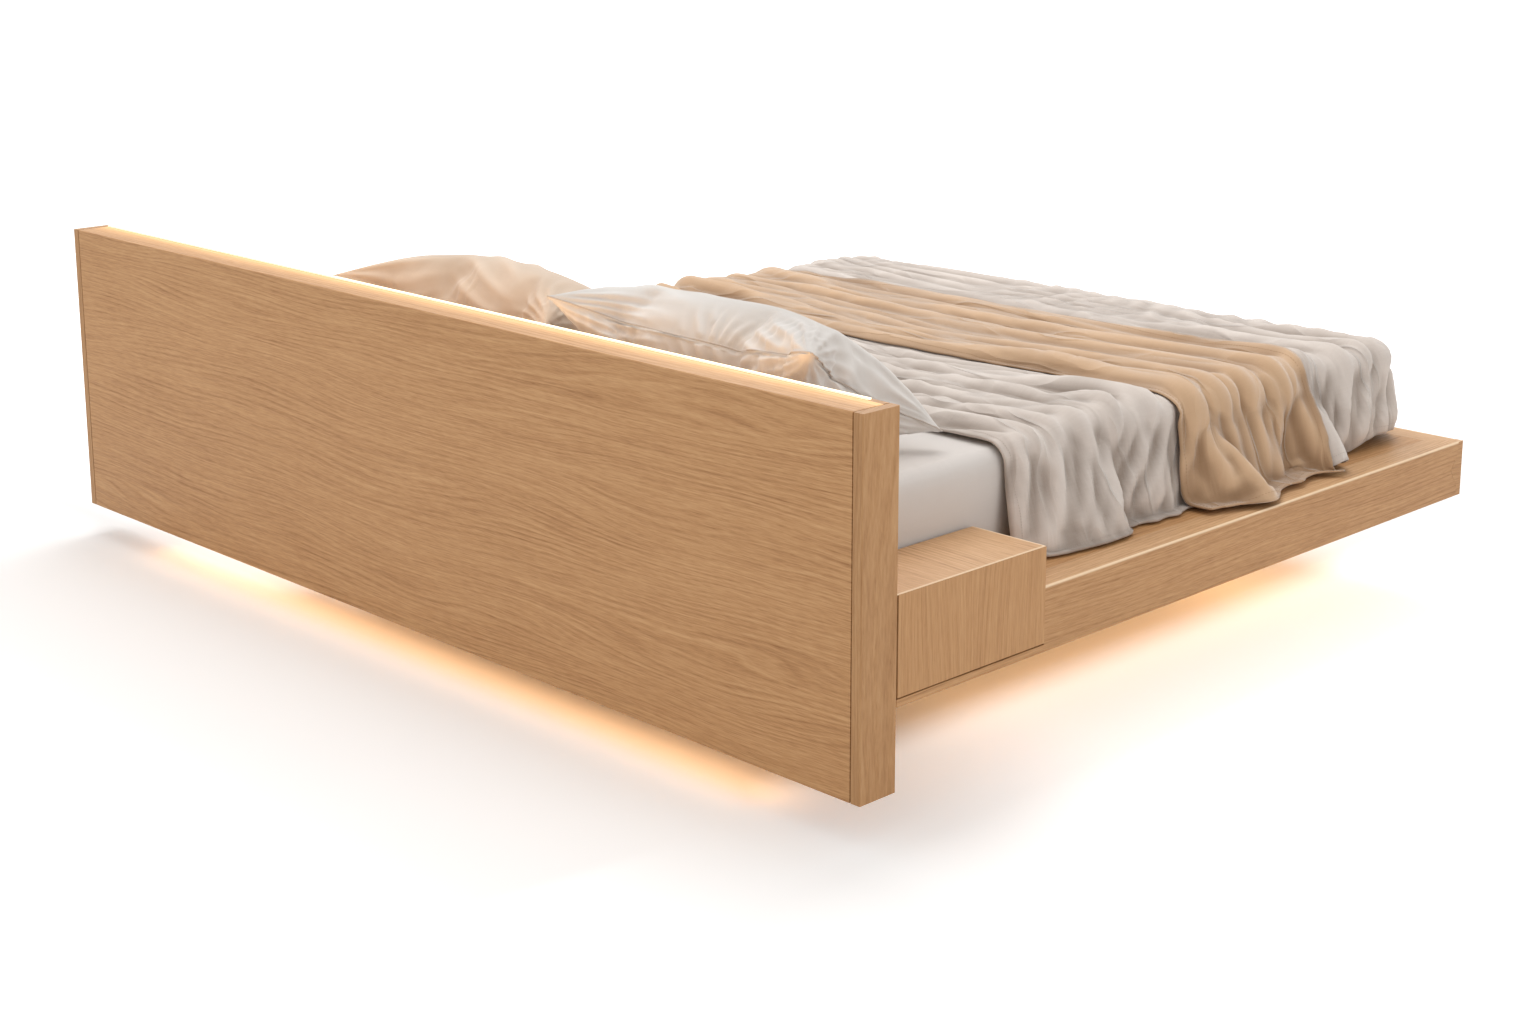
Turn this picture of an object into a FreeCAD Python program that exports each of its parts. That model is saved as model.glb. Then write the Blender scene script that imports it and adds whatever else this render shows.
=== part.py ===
"""Floating bed: a platform bed on a hidden plinth, with a lit headboard and two bedside drawers.

Millimetres, +Z up. The origin is on the floor under the middle of the bed's outline. The headboard
stands at the -Y end with its back towards -Y, and the foot of the bed is at +Y. The bed proper is
off centre towards +X, where the headboard and the platform end flush.
"""
import FreeCAD, Part
import math
import os
import re
import Sketcher

Vector = FreeCAD.Vector
doc = FreeCAD.newDocument("floating_bed")
sheet = doc.addObject("Spreadsheet::Sheet", "Sizes")
sheet.Label = "Sizes"

# Driving sizes: name, millimetres (or a count), what it is
SIZES = (
    ("headboard_width", 3040, "end to end"),
    ("headboard_height", 800, "bottom edge to top face"),
    ("headboard_thickness", 105, "back face to front face"),
    ("headboard_gap", 92, "floor to the headboard's bottom edge"),
    ("post_width", 25, "end post seen from behind"),
    ("post_groove", 3, "shadow gap between a panel and its post"),
    ("panel_thickness", 18, "headboard panels, caps, deck and cabinet boards"),
    ("rib_width", 45, "ribs inside the headboard"),
    ("arris_width", 2, "chamfer along the sharp outer edges"),
    ("joint_gap", 0.6, "seam between two boards that show"),
    ("foot_ledge", 100, "mattress end to the foot of the platform"),
    ("platform_gap", 272, "floor to the platform's bottom edge"),
    ("rail_height", 146, "platform rails"),
    ("rail_thickness", 22, "platform rails"),
    ("border_width", 77, "mitred boards round the deck"),
    ("key_reach", 54, "how far a corner key reaches along its rail"),
    ("side_ledge", 214, "mattress side to the platform's outer face"),
    ("mattress_width", 1800, "across the bed"),
    ("mattress_length", 2100, "along the bed"),
    ("mattress_height", 240, "mattress with its fitted sheet"),
    ("mattress_corner_radius", 70, "corner radius seen from above"),
    ("mattress_edge_radius", 38, "rounding of the top and bottom edges"),
    ("mattress_gap", 10, "mattress to the headboard and to the cabinets"),
    ("slat_width", 70, "slats under the mattress"),
    ("slat_margin", 57, "headboard to the first slat, and last slat to the foot panel"),
    ("slat_count", 14, "slats"),
    ("slat_overlap_length", 80, "mattress side to the end of a slat"),
    ("batten_width", 45, "battens, cross beams, head rail and blocks"),
    ("batten_height", 20, "battens between the beams and the deck"),
    ("beam_height", 76, "cross beams and head rail"),
    ("plinth_inset", 600, "platform's outer face to the plinth's, at the sides and the foot"),
    ("plinth_setback", 350, "headboard front to the plinth"),
    ("plinth_block_height", 120, "blocks in the plinth that the feet screw into"),
    ("foot_height", 25, "floor to the plinth's bottom edge"),
    ("foot_radius", 26, "pad of a levelling foot"),
    ("foot_pad_height", 9, "thickness of that pad"),
    ("stem_radius", 5, "threaded stem of a foot"),
    ("stem_grip_length", 35, "length of the stem inside its block"),
    ("cabinet_depth", 465, "headboard front to the cabinet's far face"),
    ("cabinet_height", 235, "bedside cabinet"),
    ("cabinet_base_thickness", 16, "bottom board of the cabinet"),
    ("front_thickness", 20, "drawer front"),
    ("front_gap", 3, "gap round the drawer front"),
    ("mitre_gap", 1, "open mitre between the drawer front and the cabinet top"),
    ("push_gap", 4, "room behind the drawer front to push it in"),
    ("drawer_depth", 140, "drawer box along its travel"),
    ("drawer_wall_thickness", 12, "drawer box sides and back"),
    ("drawer_floor_thickness", 6, "drawer bottom"),
    ("drawer_height", 140, "drawer box with its bottom"),
    ("drawer_lift", 12, "cabinet base to the drawer bottom"),
    ("runner_room", 13, "cabinet wall to drawer side"),
    ("runner_height", 27, "fixed runner"),
    ("runner_length", 135, "fixed and sliding runner"),
    ("runner_sheet_thickness", 1.2, "steel sheet of the runners"),
    ("runner_flange_width", 8, "flanges of a runner"),
    ("runner_play", 0.6, "sliding runner inside the fixed one"),
    ("latch_side_width", 14, "push latch housing, across"),
    ("latch_length", 18, "push latch housing, along the travel"),
    ("latch_bore_radius", 3.1, "radius of the bore in the housing"),
    ("plunger_radius", 3, "latch plunger"),
    ("plunger_grip_length", 13, "length of the plunger inside the housing"),
    ("plunger_cap_radius", 5, "cap of the plunger"),
    ("plunger_cap_length", 3, "thickness of that cap"),
    ("clearance", 0.3, "clearance where two things only just meet"),
    ("channel_width", 12, "aluminium light channel"),
    ("channel_height", 12, "aluminium light channel"),
    ("channel_wall_thickness", 1.2, "aluminium light channel"),
    ("channel_setback", 3, "headboard front to the light channel in its top"),
    ("diffuser_height", 6, "opal strip in a light channel"),
    ("diffuser_proud", 3, "how far the top diffuser stands above the headboard"),
    ("diffuser_sink", 3, "bottom edge of a rail to the diffuser above it"),
    ("top_light_margin", 72, "end of the headboard to the end of its top light"),
    ("under_light_length", 2460, "light under the headboard"),
    ("bolt_radius", 5, "headboard bolts"),
    ("bolt_clearance", 0.5, "bolt hole over bolt, in radius"),
    ("bolt_length", 110, "headboard bolts, under the head"),
    ("bolt_head_radius", 9, "across the corners of the head"),
    ("bolt_head_height", 6.5, "headboard bolts"),
    ("bolt_tip_room", 4, "bolt hole past the end of the bolt"),
    ("driver_length", 190, "power supply of the lights"),
    ("driver_width", 62, "power supply of the lights"),
    ("driver_height", 34, "power supply of the lights"),
    ("driver_rise", 80, "plinth's bottom edge to the power supply and the inlet"),
    ("inlet_offset", 250, "middle of the bed to the power inlet"),
    ("inlet_width", 48, "flange of the power inlet"),
    ("inlet_flange_height", 28, "flange of the power inlet"),
    ("inlet_flange_thickness", 3, "thickness of that flange"),
    ("inlet_body_width", 28, "socket of the power inlet"),
    ("inlet_body_height", 20, "socket of the power inlet"),
    ("inlet_depth", 26, "socket of the power inlet"),
    ("inlet_wall_thickness", 2.5, "wall of the socket"),
    ("pin_width", 2, "contact pins in the socket"),
    ("pin_height", 4, "contact pins in the socket"),
    ("pin_pitch", 7, "contact pins, middle to middle"),
    ("pin_length", 16, "contact pins in the socket"),
    ("pillow_length", 910, "across the bed"),
    ("pillow_width", 520, "from its upper to its lower edge"),
    ("pillow_crown", 140, "swell of its upper face"),
    ("pillow_belly", 52, "swell of its lower face"),
    ("pillow_seam", 8, "thickness at the seam"),
    ("pillow_lean", 28, "degrees that a pillow leans back"),
    ("pillow_space", 10, "between the two pillows"),
    ("pillow_shift", 40, "middle of the bed to the middle of the pair of pillows"),
    ("pillow_lower_edge", 548, "headboard front to the pillow's lower edge"),
    ("duvet_start", 566, "headboard front to the duvet's near edge"),
    ("duvet_loft", 18, "duvet thickness on top"),
    ("duvet_flare_side", 96, "how far the duvet's hem stands out at the sides"),
    ("duvet_flare_foot", 22, "how far the duvet's hem stands out at the foot"),
    ("duvet_fold", 26, "depth of the duvet's folds at the hem"),
    ("duvet_corner_radius", 90, "corner radius of the duvet's outline"),
    ("throw_start", 1150, "headboard front to the throw's near edge"),
    ("throw_width", 550, "along the bed"),
    ("throw_loft", 12, "throw thickness"),
)


def fill_sheet():
    """Write every size into the sheet, one row each, under its alias."""
    for row, (alias, value, note) in enumerate(SIZES, start=1):
        sheet.set("A%d" % row, alias.replace("_", " "))
        sheet.set("B%d" % row, str(value))
        sheet.setAlias("B%d" % row, alias)
        sheet.set("C%d" % row, note)
    doc.recompute()


fill_sheet()


def bound(text):
    """The expression text with every size name pointed at the sheet."""
    return re.sub(r"[a-z][a-z_]+", lambda found: "Sizes." + found.group(), text)


def size(name):
    """One size of the sheet as a number."""
    return float(getattr(sheet, name))


# Places that many pieces share, as expressions of the sizes
PLATFORM_LENGTH = "(mattress_gap + mattress_length + foot_ledge)"
BACK = "(-(headboard_thickness + " + PLATFORM_LENGTH + ") / 2)"
HEAD = "(" + BACK + " + headboard_thickness)"
FOOT = "((headboard_thickness + " + PLATFORM_LENGTH + ") / 2)"
RIGHT = "(headboard_width / 2)"
CENTRE = "(headboard_width / 2 - side_ledge - mattress_width / 2)"
HALF = "(mattress_width / 2 + side_ledge)"
DECK = "(platform_gap + rail_height)"
SLATS = "(" + DECK + " - panel_thickness)"
BATTENS = "(" + SLATS + " - batten_height)"
BEAMS = "(" + BATTENS + " - beam_height)"
CABINET_TOP = "(platform_gap + cabinet_height)"
CABINET_END = "(" + HEAD + " + cabinet_depth)"
HEADBOARD_TOP = "(headboard_gap + headboard_height)"
SIDES = (("left", -1), ("right", 1))

finished = []


def finish(piece):
    """Mark a piece as one of the bed's nodes."""
    finished.append(piece)
    return piece


def place(piece, corner, turn=0):
    """Put a piece's own origin at a corner, turned by quarter turns about +Z."""
    piece.Placement.Rotation = FreeCAD.Rotation(Vector(0, 0, 1), 90 * turn)
    for axis, text in zip("xyz", corner):
        piece.setExpression("Placement.Base." + axis, bound(text))
    return piece


def board(name, corner, lengths):
    """A plain board from its low corner and its lengths along X, Y and Z."""
    piece = doc.addObject("Part::Box", name)
    piece.Label = name
    for side, text in zip(("Length", "Width", "Height"), lengths):
        piece.setExpression(side, bound(text))
    return place(piece, corner)


def rod(name, corner, radius, length, along="z"):
    """A round rod from the middle of its low end, along one axis."""
    piece = doc.addObject("Part::Cylinder", name)
    piece.Label = name
    piece.setExpression("Radius", bound(radius))
    piece.setExpression("Height", bound(length))
    place(piece, corner)
    turns = {"x": (Vector(0, 1, 0), 90), "y": (Vector(1, 0, 0), -90), "z": (Vector(0, 0, 1), 0)}
    piece.Placement.Rotation = FreeCAD.Rotation(*turns[along])
    return piece


def cut(name, base, tool):
    """The base piece with the tool taken away."""
    piece = doc.addObject("Part::Cut", name)
    piece.Label = name
    piece.Base = base
    piece.Tool = tool
    return piece


def fuse(name, pieces):
    """Several overlapping or touching shapes as one solid."""
    piece = doc.addObject("Part::MultiFuse", name)
    piece.Label = name
    piece.Shapes = pieces
    piece.Refine = True
    return piece


def group(name, pieces):
    """Identical or matching pieces kept as separate solids under one name."""
    piece = doc.addObject("Part::Compound", name)
    piece.Label = name
    piece.Links = pieces
    return piece


def plane_of(body, role):
    """One of a body's own origin planes."""
    return next(item for item in body.Origin.OriginFeatures if item.Role == role)


def number_of(text):
    """The number that an expression of the sizes gives."""
    filled = re.sub(r"[a-z][a-z_]+", lambda found: repr(size(found.group())), text)
    return float(FreeCAD.Units.Quantity(filled).Value)


def outline(body, name, role, points):
    """A closed sketch on an origin plane, each corner bound to a pair of expressions."""
    sketch = body.newObject("Sketcher::SketchObject", name)
    sketch.AttachmentSupport = (plane_of(body, role), [""])
    sketch.MapMode = "FlatFace"
    corners = [Vector(number_of(across), number_of(up), 0) for across, up in points]
    for index, corner in enumerate(corners):
        sketch.addGeometry(Part.LineSegment(corner, corners[(index + 1) % len(corners)]))
    for index in range(len(corners)):
        following = (index + 1) % len(corners)
        sketch.addConstraint(Sketcher.Constraint("Coincident", index, 2, following, 1))
    for index, (texts, corner) in enumerate(zip(points, corners)):
        for kind, text, value in zip(("DistanceX", "DistanceY"), texts, corner):
            number = sketch.addConstraint(Sketcher.Constraint(kind, -1, 1, index, 1, value))
            sketch.setExpression("Constraints[%d]" % number, bound(text))
    return sketch


def pad(body, sketch, length):
    """Pad a sketch by a bound length."""
    feature = body.newObject("PartDesign::Pad", body.Name + "_pad")
    feature.Profile = sketch
    feature.setExpression("Length", bound(length))
    return feature


def bar(name, profile, length, corner, turn=0):
    """A bar of constant section: its profile in local Y and Z, its length along local X."""
    body = doc.addObject("PartDesign::Body", name)
    body.Label = name
    sketch = outline(body, name + "_profile", "YZ_Plane", profile)
    pad(body, sketch, length)
    return place(body, corner, turn)


def plate(name, points, thickness, corner, turn=0):
    """A flat plate: its outline in local X and Y, its thickness along Z."""
    body = doc.addObject("PartDesign::Body", name)
    body.Label = name
    sketch = outline(body, name + "_outline", "XY_Plane", points)
    pad(body, sketch, thickness)
    return place(body, corner, turn)


def mitre_relief(body, name, points):
    """Cut a bound profile through the whole length of a body, along local X."""
    sketch = outline(body, name + "_relief", "YZ_Plane", points)
    pocket = body.newObject("PartDesign::Pocket", name + "_pocket")
    pocket.Profile = sketch
    pocket.Type = "ThroughAll"
    pocket.Reversed = True
    body.Tip = pocket


def run_outline(length, depth, near, far):
    """Plan of a board from its outer face inward, its ends square or mitred at 45 degrees."""
    return (
        ("0", "0"),
        (length, "0"),
        (length + " - %d * " % far + depth, depth),
        ("%d * " % near + depth, depth),
    )


def upright(name, length, depth, height, lid, corner, turn, near=0, far=0):
    """A standing board whose outer top edge meets a lying board of thickness lid in a mitre."""
    body = plate(name, run_outline(length, depth, near, far), height, corner, turn)
    mitre_relief(body, name, (
        ("-arris_width", height + " - 2 * arris_width"),
        ("arris_width / 2", height + " - arris_width / 2"),
        (lid, height + " - " + lid),
        (depth + " + arris_width", height + " - " + lid),
        (depth + " + arris_width", height + " + arris_width"),
        ("-arris_width", height + " + arris_width"),
    ))
    return body


def lying(name, length, depth, corner, turn, near=0, far=0):
    """A lying board whose outer edge meets an upright board in a mitre."""
    body = plate(name, run_outline(length, depth, near, far), "panel_thickness", corner, turn)
    mitre_relief(body, name, (
        ("2 * arris_width", "panel_thickness + arris_width"),
        ("arris_width / 2", "panel_thickness - arris_width / 2"),
        ("panel_thickness + arris_width", "-arris_width"),
        ("-arris_width", "-arris_width"),
        ("-arris_width", "panel_thickness + arris_width"),
    ))
    return body


def flank(sign, near, far):
    """Low end and length along X of something that spans near to far from the bed's middle."""
    low = CENTRE + " + " + near if sign > 0 else CENTRE + " - (" + far + ")"
    return low, "(" + far + ") - (" + near + ")"


def flank_board(name, sign, span, along, up):
    """A board on one side of the bed from its spans: near and far, low end and length twice."""
    low, length = flank(sign, *span)
    return board(name, (low, along[0], up[0]), (length, along[1], up[1]))


def flank_rod(name, sign, span, along, up, radius):
    """A rod along X on one side of the bed."""
    low, length = flank(sign, *span)
    return rod(name, (low, along, up), radius, length, "x")


# Headboard
PANEL_START = "(-headboard_width / 2 + post_width + post_groove)"
PANEL_LENGTH = "(headboard_width - 2 * (post_width + post_groove))"
PANEL_ROOM = "(headboard_thickness - 2 * panel_thickness)"
CAP_BOTTOM = "(headboard_gap + channel_height)"
BOLT_LINE = "(" + BEAMS + " + beam_height / 2)"
CABINET_INNER = "(mattress_width / 2 + mattress_gap)"
bolt_place_shares = (-0.95, -0.475, 0.0, 0.475, 0.95)
wing_rib_shares = (0.34, 0.67)


def bolt_middle(share):
    """Middle along X of a bolted rib, behind the head rail."""
    return "(" + CENTRE + " + %s * " % share + CABINET_INNER + ")"


def rib_middles():
    """Middles along X of all ribs: at the bolts, in the free wing and at both posts."""
    end = "(headboard_width / 2 - post_width - rib_width / 2)"
    wing = "(" + bolt_middle(bolt_place_shares[0]) + " + " + end + ")"
    middles = ["(-" + end + ")"]
    middles += ["(%s * " % share + wing + " - " + end + ")" for share in wing_rib_shares]
    middles += [bolt_middle(share) for share in bolt_place_shares]
    return middles + [end]


def bolt_holes(name):
    """The drilling for all headboard bolts."""
    length = "(bolt_length + bolt_tip_room + bolt_head_height)"
    start = "(" + HEAD + " + batten_width - bolt_length - bolt_tip_room)"
    holes = [
        rod("%s_%d" % (name, index), (bolt_middle(share), start, BOLT_LINE),
            "bolt_radius + bolt_clearance", length, "y")
        for index, share in enumerate(bolt_place_shares)
    ]
    return group(name, holes)


def headboard_bolt(index, middle):
    """A hexagon bolt through the head rail and the front panel into a rib."""
    name = "headboard_bolt_%d" % index
    shank = rod(name + "_shank",
                (middle, "(" + HEAD + " + batten_width - bolt_length)", BOLT_LINE),
                "bolt_radius", "bolt_length", "y")
    head = doc.addObject("Part::Prism", name + "_head")
    head.Polygon = 6
    head.setExpression("Circumradius", bound("bolt_head_radius"))
    head.setExpression("Height", bound("bolt_head_height"))
    place(head, (middle, "(" + HEAD + " + batten_width)", BOLT_LINE))
    head.Placement.Rotation = FreeCAD.Rotation(Vector(1, 0, 0), -90)
    return fuse(name, [shank, head])


def make_headboard(drilling):
    """Two veneered panels and two caps on ribs, between two posts, with a light in the top."""
    finish(upright("headboard_rear_panel", PANEL_LENGTH, "panel_thickness", "headboard_height",
                   "panel_thickness", (PANEL_START, BACK, "headboard_gap"), 0))
    finish(lying("headboard_top_cap", PANEL_LENGTH, "(headboard_thickness - panel_thickness)",
                 (PANEL_START, BACK, HEADBOARD_TOP + " - panel_thickness"), 0))
    finish(board("headboard_bottom_cap", (PANEL_START, BACK + " + panel_thickness", CAP_BOTTOM),
                 (PANEL_LENGTH, PANEL_ROOM, "panel_thickness")))
    front = board("front_panel_blank",
                  (PANEL_START, HEAD + " - panel_thickness", "headboard_gap"),
                  (PANEL_LENGTH, "panel_thickness", "headboard_height"))
    light_start = PANEL_START
    light_length = "(headboard_width - post_width - post_groove - top_light_margin)"
    light_y = "(" + HEAD + " - channel_setback - channel_width)"
    light_z = "(" + HEADBOARD_TOP + " - channel_height)"
    groove = board("top_light_groove", (light_start, light_y, light_z),
                   (light_length, "channel_width", "channel_height + arris_width"))
    finish(cut("headboard_front_panel", front, group("front_panel_cuts", [groove, drilling])))
    finish(bar("top_light_channel", channel_profile(1), light_length,
               (light_start, light_y, light_z)))
    finish(board("top_light_diffuser",
                 (light_start, light_y + " + channel_wall_thickness",
                  HEADBOARD_TOP + " + diffuser_proud - diffuser_height"),
                 (light_length, "channel_width - 2 * channel_wall_thickness", "diffuser_height")))
    ribs = [
        board("headboard_rib_%d" % index,
              (middle + " - rib_width / 2", BACK + " + panel_thickness",
               CAP_BOTTOM + " + panel_thickness"),
              ("rib_width", PANEL_ROOM,
               "headboard_height - channel_height - 2 * panel_thickness"))
        for index, middle in enumerate(rib_middles())
    ]
    finish(cut("headboard_ribs", group("headboard_rib_blanks", ribs), drilling))
    for side, sign in SIDES:
        finish(post(side, sign))
    bolts = [
        headboard_bolt(index, bolt_middle(share)) for index, share in enumerate(bolt_place_shares)
    ]
    finish(group("headboard_bolts", bolts))


def post(side, sign):
    """An end post as deep as the headboard, its outer edges eased."""
    outer = ("post_width", "post_width - arris_width") if sign > 0 else ("0", "arris_width")
    inner = "0" if sign > 0 else "post_width"
    points = (
        (inner, "0"),
        (outer[1], "0"),
        (outer[0], "arris_width"),
        (outer[0], "headboard_thickness - arris_width"),
        (outer[1], "headboard_thickness"),
        (inner, "headboard_thickness"),
    )
    start = "headboard_width / 2 - post_width" if sign > 0 else "-headboard_width / 2"
    return plate("headboard_post_" + side, points, "headboard_height",
                 (start, BACK, "headboard_gap"))


def channel_profile(opening):
    """U section of a light channel, open upward (1) or downward (-1)."""
    floor = ("0", "channel_wall_thickness", "channel_height")
    if opening < 0:
        floor = ("channel_height", "channel_height - channel_wall_thickness", "0")
    return (
        ("0", floor[0]),
        ("channel_width", floor[0]),
        ("channel_width", floor[2]),
        ("channel_width - channel_wall_thickness", floor[2]),
        ("channel_width - channel_wall_thickness", floor[1]),
        ("channel_wall_thickness", floor[1]),
        ("channel_wall_thickness", floor[2]),
        ("0", floor[2]),
    )


# Platform
HALF_SLAT = "(mattress_width / 2 - slat_overlap_length)"
SLAT_END = "(mattress_gap + mattress_length - slat_overlap_length)"
SIDE_RUN = "(" + PLATFORM_LENGTH + " - cabinet_depth)"
beam_places_share = (0.32, 0.6, 0.88)
head_beam_share = 0.105


def side_turn(sign):
    """Corner along X and Y and quarter turns of a run that faces outward on one side."""
    if sign > 0:
        return RIGHT, CABINET_END, 1
    return CENTRE + " - " + HALF, FOOT, 3


def key_prism(name, sign, reach, along_side):
    """Triangular wedge at a foot corner, on the side rail or on the foot rail."""
    outer = CENTRE + " + " + HALF if sign > 0 else CENTRE + " - " + HALF
    if along_side:
        points = (("0", "0"), ("0", "rail_height"), ("-" + reach, "rail_height / 2"))
        start = outer + " - rail_thickness" if sign > 0 else outer
        return bar(name, points, "rail_thickness", (start, FOOT, "platform_gap"))
    point = reach if sign > 0 else "-" + reach
    points = (("0", "0"), (point, "rail_height / 2"), ("0", "rail_height"))
    return bar(name, points, "rail_thickness", (outer, FOOT + " - rail_thickness", "platform_gap"), 1)


def key_wedge(name, sign, reach):
    """Both wedges of one foot corner as one solid."""
    return fuse(name, [key_prism(name + "_side", sign, reach, True),
                       key_prism(name + "_foot", sign, reach, False)])


def make_rails_and_borders():
    """Rails and border boards mitred to each other, with a wedge-shaped key at each foot corner."""
    borders = []
    rails = []
    for side, sign in SIDES:
        x, y, turn = side_turn(sign)
        near, far = (0, 1) if sign > 0 else (1, 0)
        rails.append((upright("rail_blank_" + side, SIDE_RUN, "rail_thickness", "rail_height",
                              "panel_thickness", (x, y, "platform_gap"), turn, near, far),
                      "side_rail_" + side))
        borders.append(finish(lying("border_board_" + side, SIDE_RUN, "border_width",
                                    (x, y, SLATS), turn, near, far)))
    rails.append((upright("rail_blank_foot", "(2 * " + HALF + ")", "rail_thickness", "rail_height",
                          "panel_thickness", (RIGHT, FOOT, "platform_gap"), 2, 1, 1), "foot_rail"))
    borders.append(finish(lying("border_board_foot", "(2 * " + HALF + ")", "border_width",
                                (RIGHT, FOOT, SLATS), 2, 1, 1)))
    notches = group("key_notches", [
        key_wedge("key_notch_" + side, sign, "(key_reach + 2 * joint_gap)") for side, sign in SIDES
    ])
    for blank, name in rails:
        finish(cut(name, blank, notches))
    keys = group("key_blanks", [key_wedge("key_" + side, sign, "key_reach") for side, sign in SIDES])
    finish(cut("corner_keys", keys, group("borders", borders)))


def make_deck():
    """Deck panels round a field of slats."""
    for side, sign in SIDES:
        inner = "%d * (" % sign + HALF_SLAT + " + joint_gap)"
        cabinet = "%d * (" % sign + CABINET_INNER + " - clearance)"
        outer = "%d * (" % sign + HALF + " - border_width - joint_gap)"
        near, middle = "joint_gap", "(cabinet_depth + joint_gap)"
        far = "(" + PLATFORM_LENGTH + " - border_width - joint_gap)"
        points = ((inner, near), (cabinet, near), (cabinet, middle), (outer, middle),
                  (outer, far), (inner, far))
        finish(plate("deck_panel_" + side, points, "panel_thickness", (CENTRE, HEAD, SLATS)))
    finish(board("deck_panel_foot",
                 (CENTRE + " - " + HALF_SLAT, HEAD + " + " + SLAT_END, SLATS),
                 ("2 * " + HALF_SLAT,
                  PLATFORM_LENGTH + " - border_width - joint_gap - " + SLAT_END,
                  "panel_thickness")))
    pitch = "((" + SLAT_END + " - slat_width - 2 * slat_margin) / (slat_count - 1))"
    slats = [
        board("slat_%d" % index,
              (CENTRE + " - " + HALF_SLAT, HEAD + " + slat_margin + %d * " % index + pitch, SLATS),
              ("2 * " + HALF_SLAT, "slat_width", "panel_thickness"))
        for index in range(int(size("slat_count")))
    ]
    finish(group("slats", slats))


def make_frame(drilling):
    """Battens, cross beams, head rail and corner blocks under the deck."""
    battens = []
    inner_reach = "(" + PLATFORM_LENGTH + " - rail_thickness)"
    outer_reach = "(" + SIDE_RUN + " - rail_thickness)"
    seam = "(" + HALF + " - border_width)"
    runs = (
        ("outer_left", "-" + seam, CABINET_END, outer_reach),
        ("inner_left", "-" + HALF_SLAT, HEAD, inner_reach),
        ("middle", "0", HEAD, inner_reach),
        ("inner_right", HALF_SLAT, HEAD, inner_reach),
        ("outer_right", seam, CABINET_END, outer_reach),
    )
    for name, middle, start, length in runs:
        battens.append(board("batten_" + name,
                             (CENTRE + " + (" + middle + ") - batten_width / 2", start, BATTENS),
                             ("batten_width", length, "batten_height")))
    finish(group("battens", battens))
    inside = "(" + HALF + " - rail_thickness)"
    beams = [
        board("beam_%d" % index,
              (CENTRE + " - " + inside, HEAD + " + %s * " % share + PLATFORM_LENGTH, BEAMS),
              ("2 * " + inside, "batten_width", "beam_height"))
        for index, share in enumerate(beam_places_share)
    ]
    beams.append(board("beam_head",
                       (CENTRE + " - " + CABINET_INNER,
                        HEAD + " + %s * " % head_beam_share + PLATFORM_LENGTH, BEAMS),
                       ("2 * " + CABINET_INNER, "batten_width", "beam_height")))
    finish(group("cross_beams", beams))
    head_rail = board("head_rail_blank", (CENTRE + " - " + CABINET_INNER, HEAD, BEAMS),
                      ("2 * " + CABINET_INNER, "batten_width", "beam_height"))
    finish(cut("head_rail", head_rail, drilling))
    blocks = [
        flank_board("corner_block_" + side, sign, (inside + " - batten_width", inside),
                    (FOOT + " - rail_thickness - batten_width", "batten_width"),
                    (BEAMS, "beam_height"))
        for side, sign in SIDES
    ]
    finish(group("corner_blocks", blocks))


# Lights under the bed
LIGHT_BOTTOM = "(platform_gap + diffuser_sink)"


def under_light(name, length, corner, turn):
    """One channel that opens downward, and the opal strip flush with its lips."""
    channel = bar(name + "_channel", channel_profile(-1), length, corner, turn)
    strip = (
        ("channel_wall_thickness", "0"),
        ("channel_width - channel_wall_thickness", "0"),
        ("channel_width - channel_wall_thickness", "diffuser_height"),
        ("channel_wall_thickness", "diffuser_height"),
    )
    return channel, bar(name + "_strip", strip, length, corner, turn)


def make_under_lights():
    """Channels inside the rails, beside the cabinets and under the headboard."""
    rail_inside = "(" + HALF + " - rail_thickness)"
    runs = [("headboard_light", "under_light_length",
             ("-under_light_length / 2", BACK + " + (headboard_thickness - channel_width) / 2",
              "headboard_gap"), 0),
            ("foot_light", "(2 * " + rail_inside + ")",
             (CENTRE + " - " + rail_inside, FOOT + " - rail_thickness - channel_width",
              LIGHT_BOTTOM), 0)]
    for side, sign in SIDES:
        rail_x = rail_inside if sign > 0 else "(-" + rail_inside + " + channel_width)"
        wall_x = CABINET_INNER if sign > 0 else "(-" + CABINET_INNER + " + channel_width)"
        runs.append(("side_light_" + side, "(" + SIDE_RUN + " - rail_thickness - channel_width)",
                     (CENTRE + " + " + rail_x, CABINET_END, LIGHT_BOTTOM), 1))
        runs.append(("cabinet_light_" + side, "(cabinet_depth - channel_width)",
                     (CENTRE + " + " + wall_x, HEAD + " + channel_width", LIGHT_BOTTOM), 1))
    pairs = [under_light(*run) for run in runs]
    finish(group("under_light_channels", [channel for channel, strip in pairs]))
    finish(group("under_light_diffusers", [strip for channel, strip in pairs]))


# Plinth
PLINTH_HALF = "(" + HALF + " - plinth_inset)"
PLINTH_START = "(" + HEAD + " + plinth_setback)"
PLINTH_RUN = "(" + PLATFORM_LENGTH + " - plinth_setback - plinth_inset)"
PLINTH_RISE = "(" + BEAMS + " - foot_height)"
INLET_Z = "(foot_height + driver_rise)"


def foot_places():
    """Low corners of the plinth blocks, at each corner and half way along each side."""
    inside = PLINTH_HALF + " - rail_thickness"
    run = "(" + PLINTH_RUN + " - 2 * rail_thickness - batten_width)"
    places = []
    for side, sign in SIDES:
        low, length = flank(sign, inside + " - batten_width", inside)
        for step in range(3):
            along = PLINTH_START + " + rail_thickness + %d * " % step + run + " / 2"
            places.append((low, along))
    return places


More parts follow.
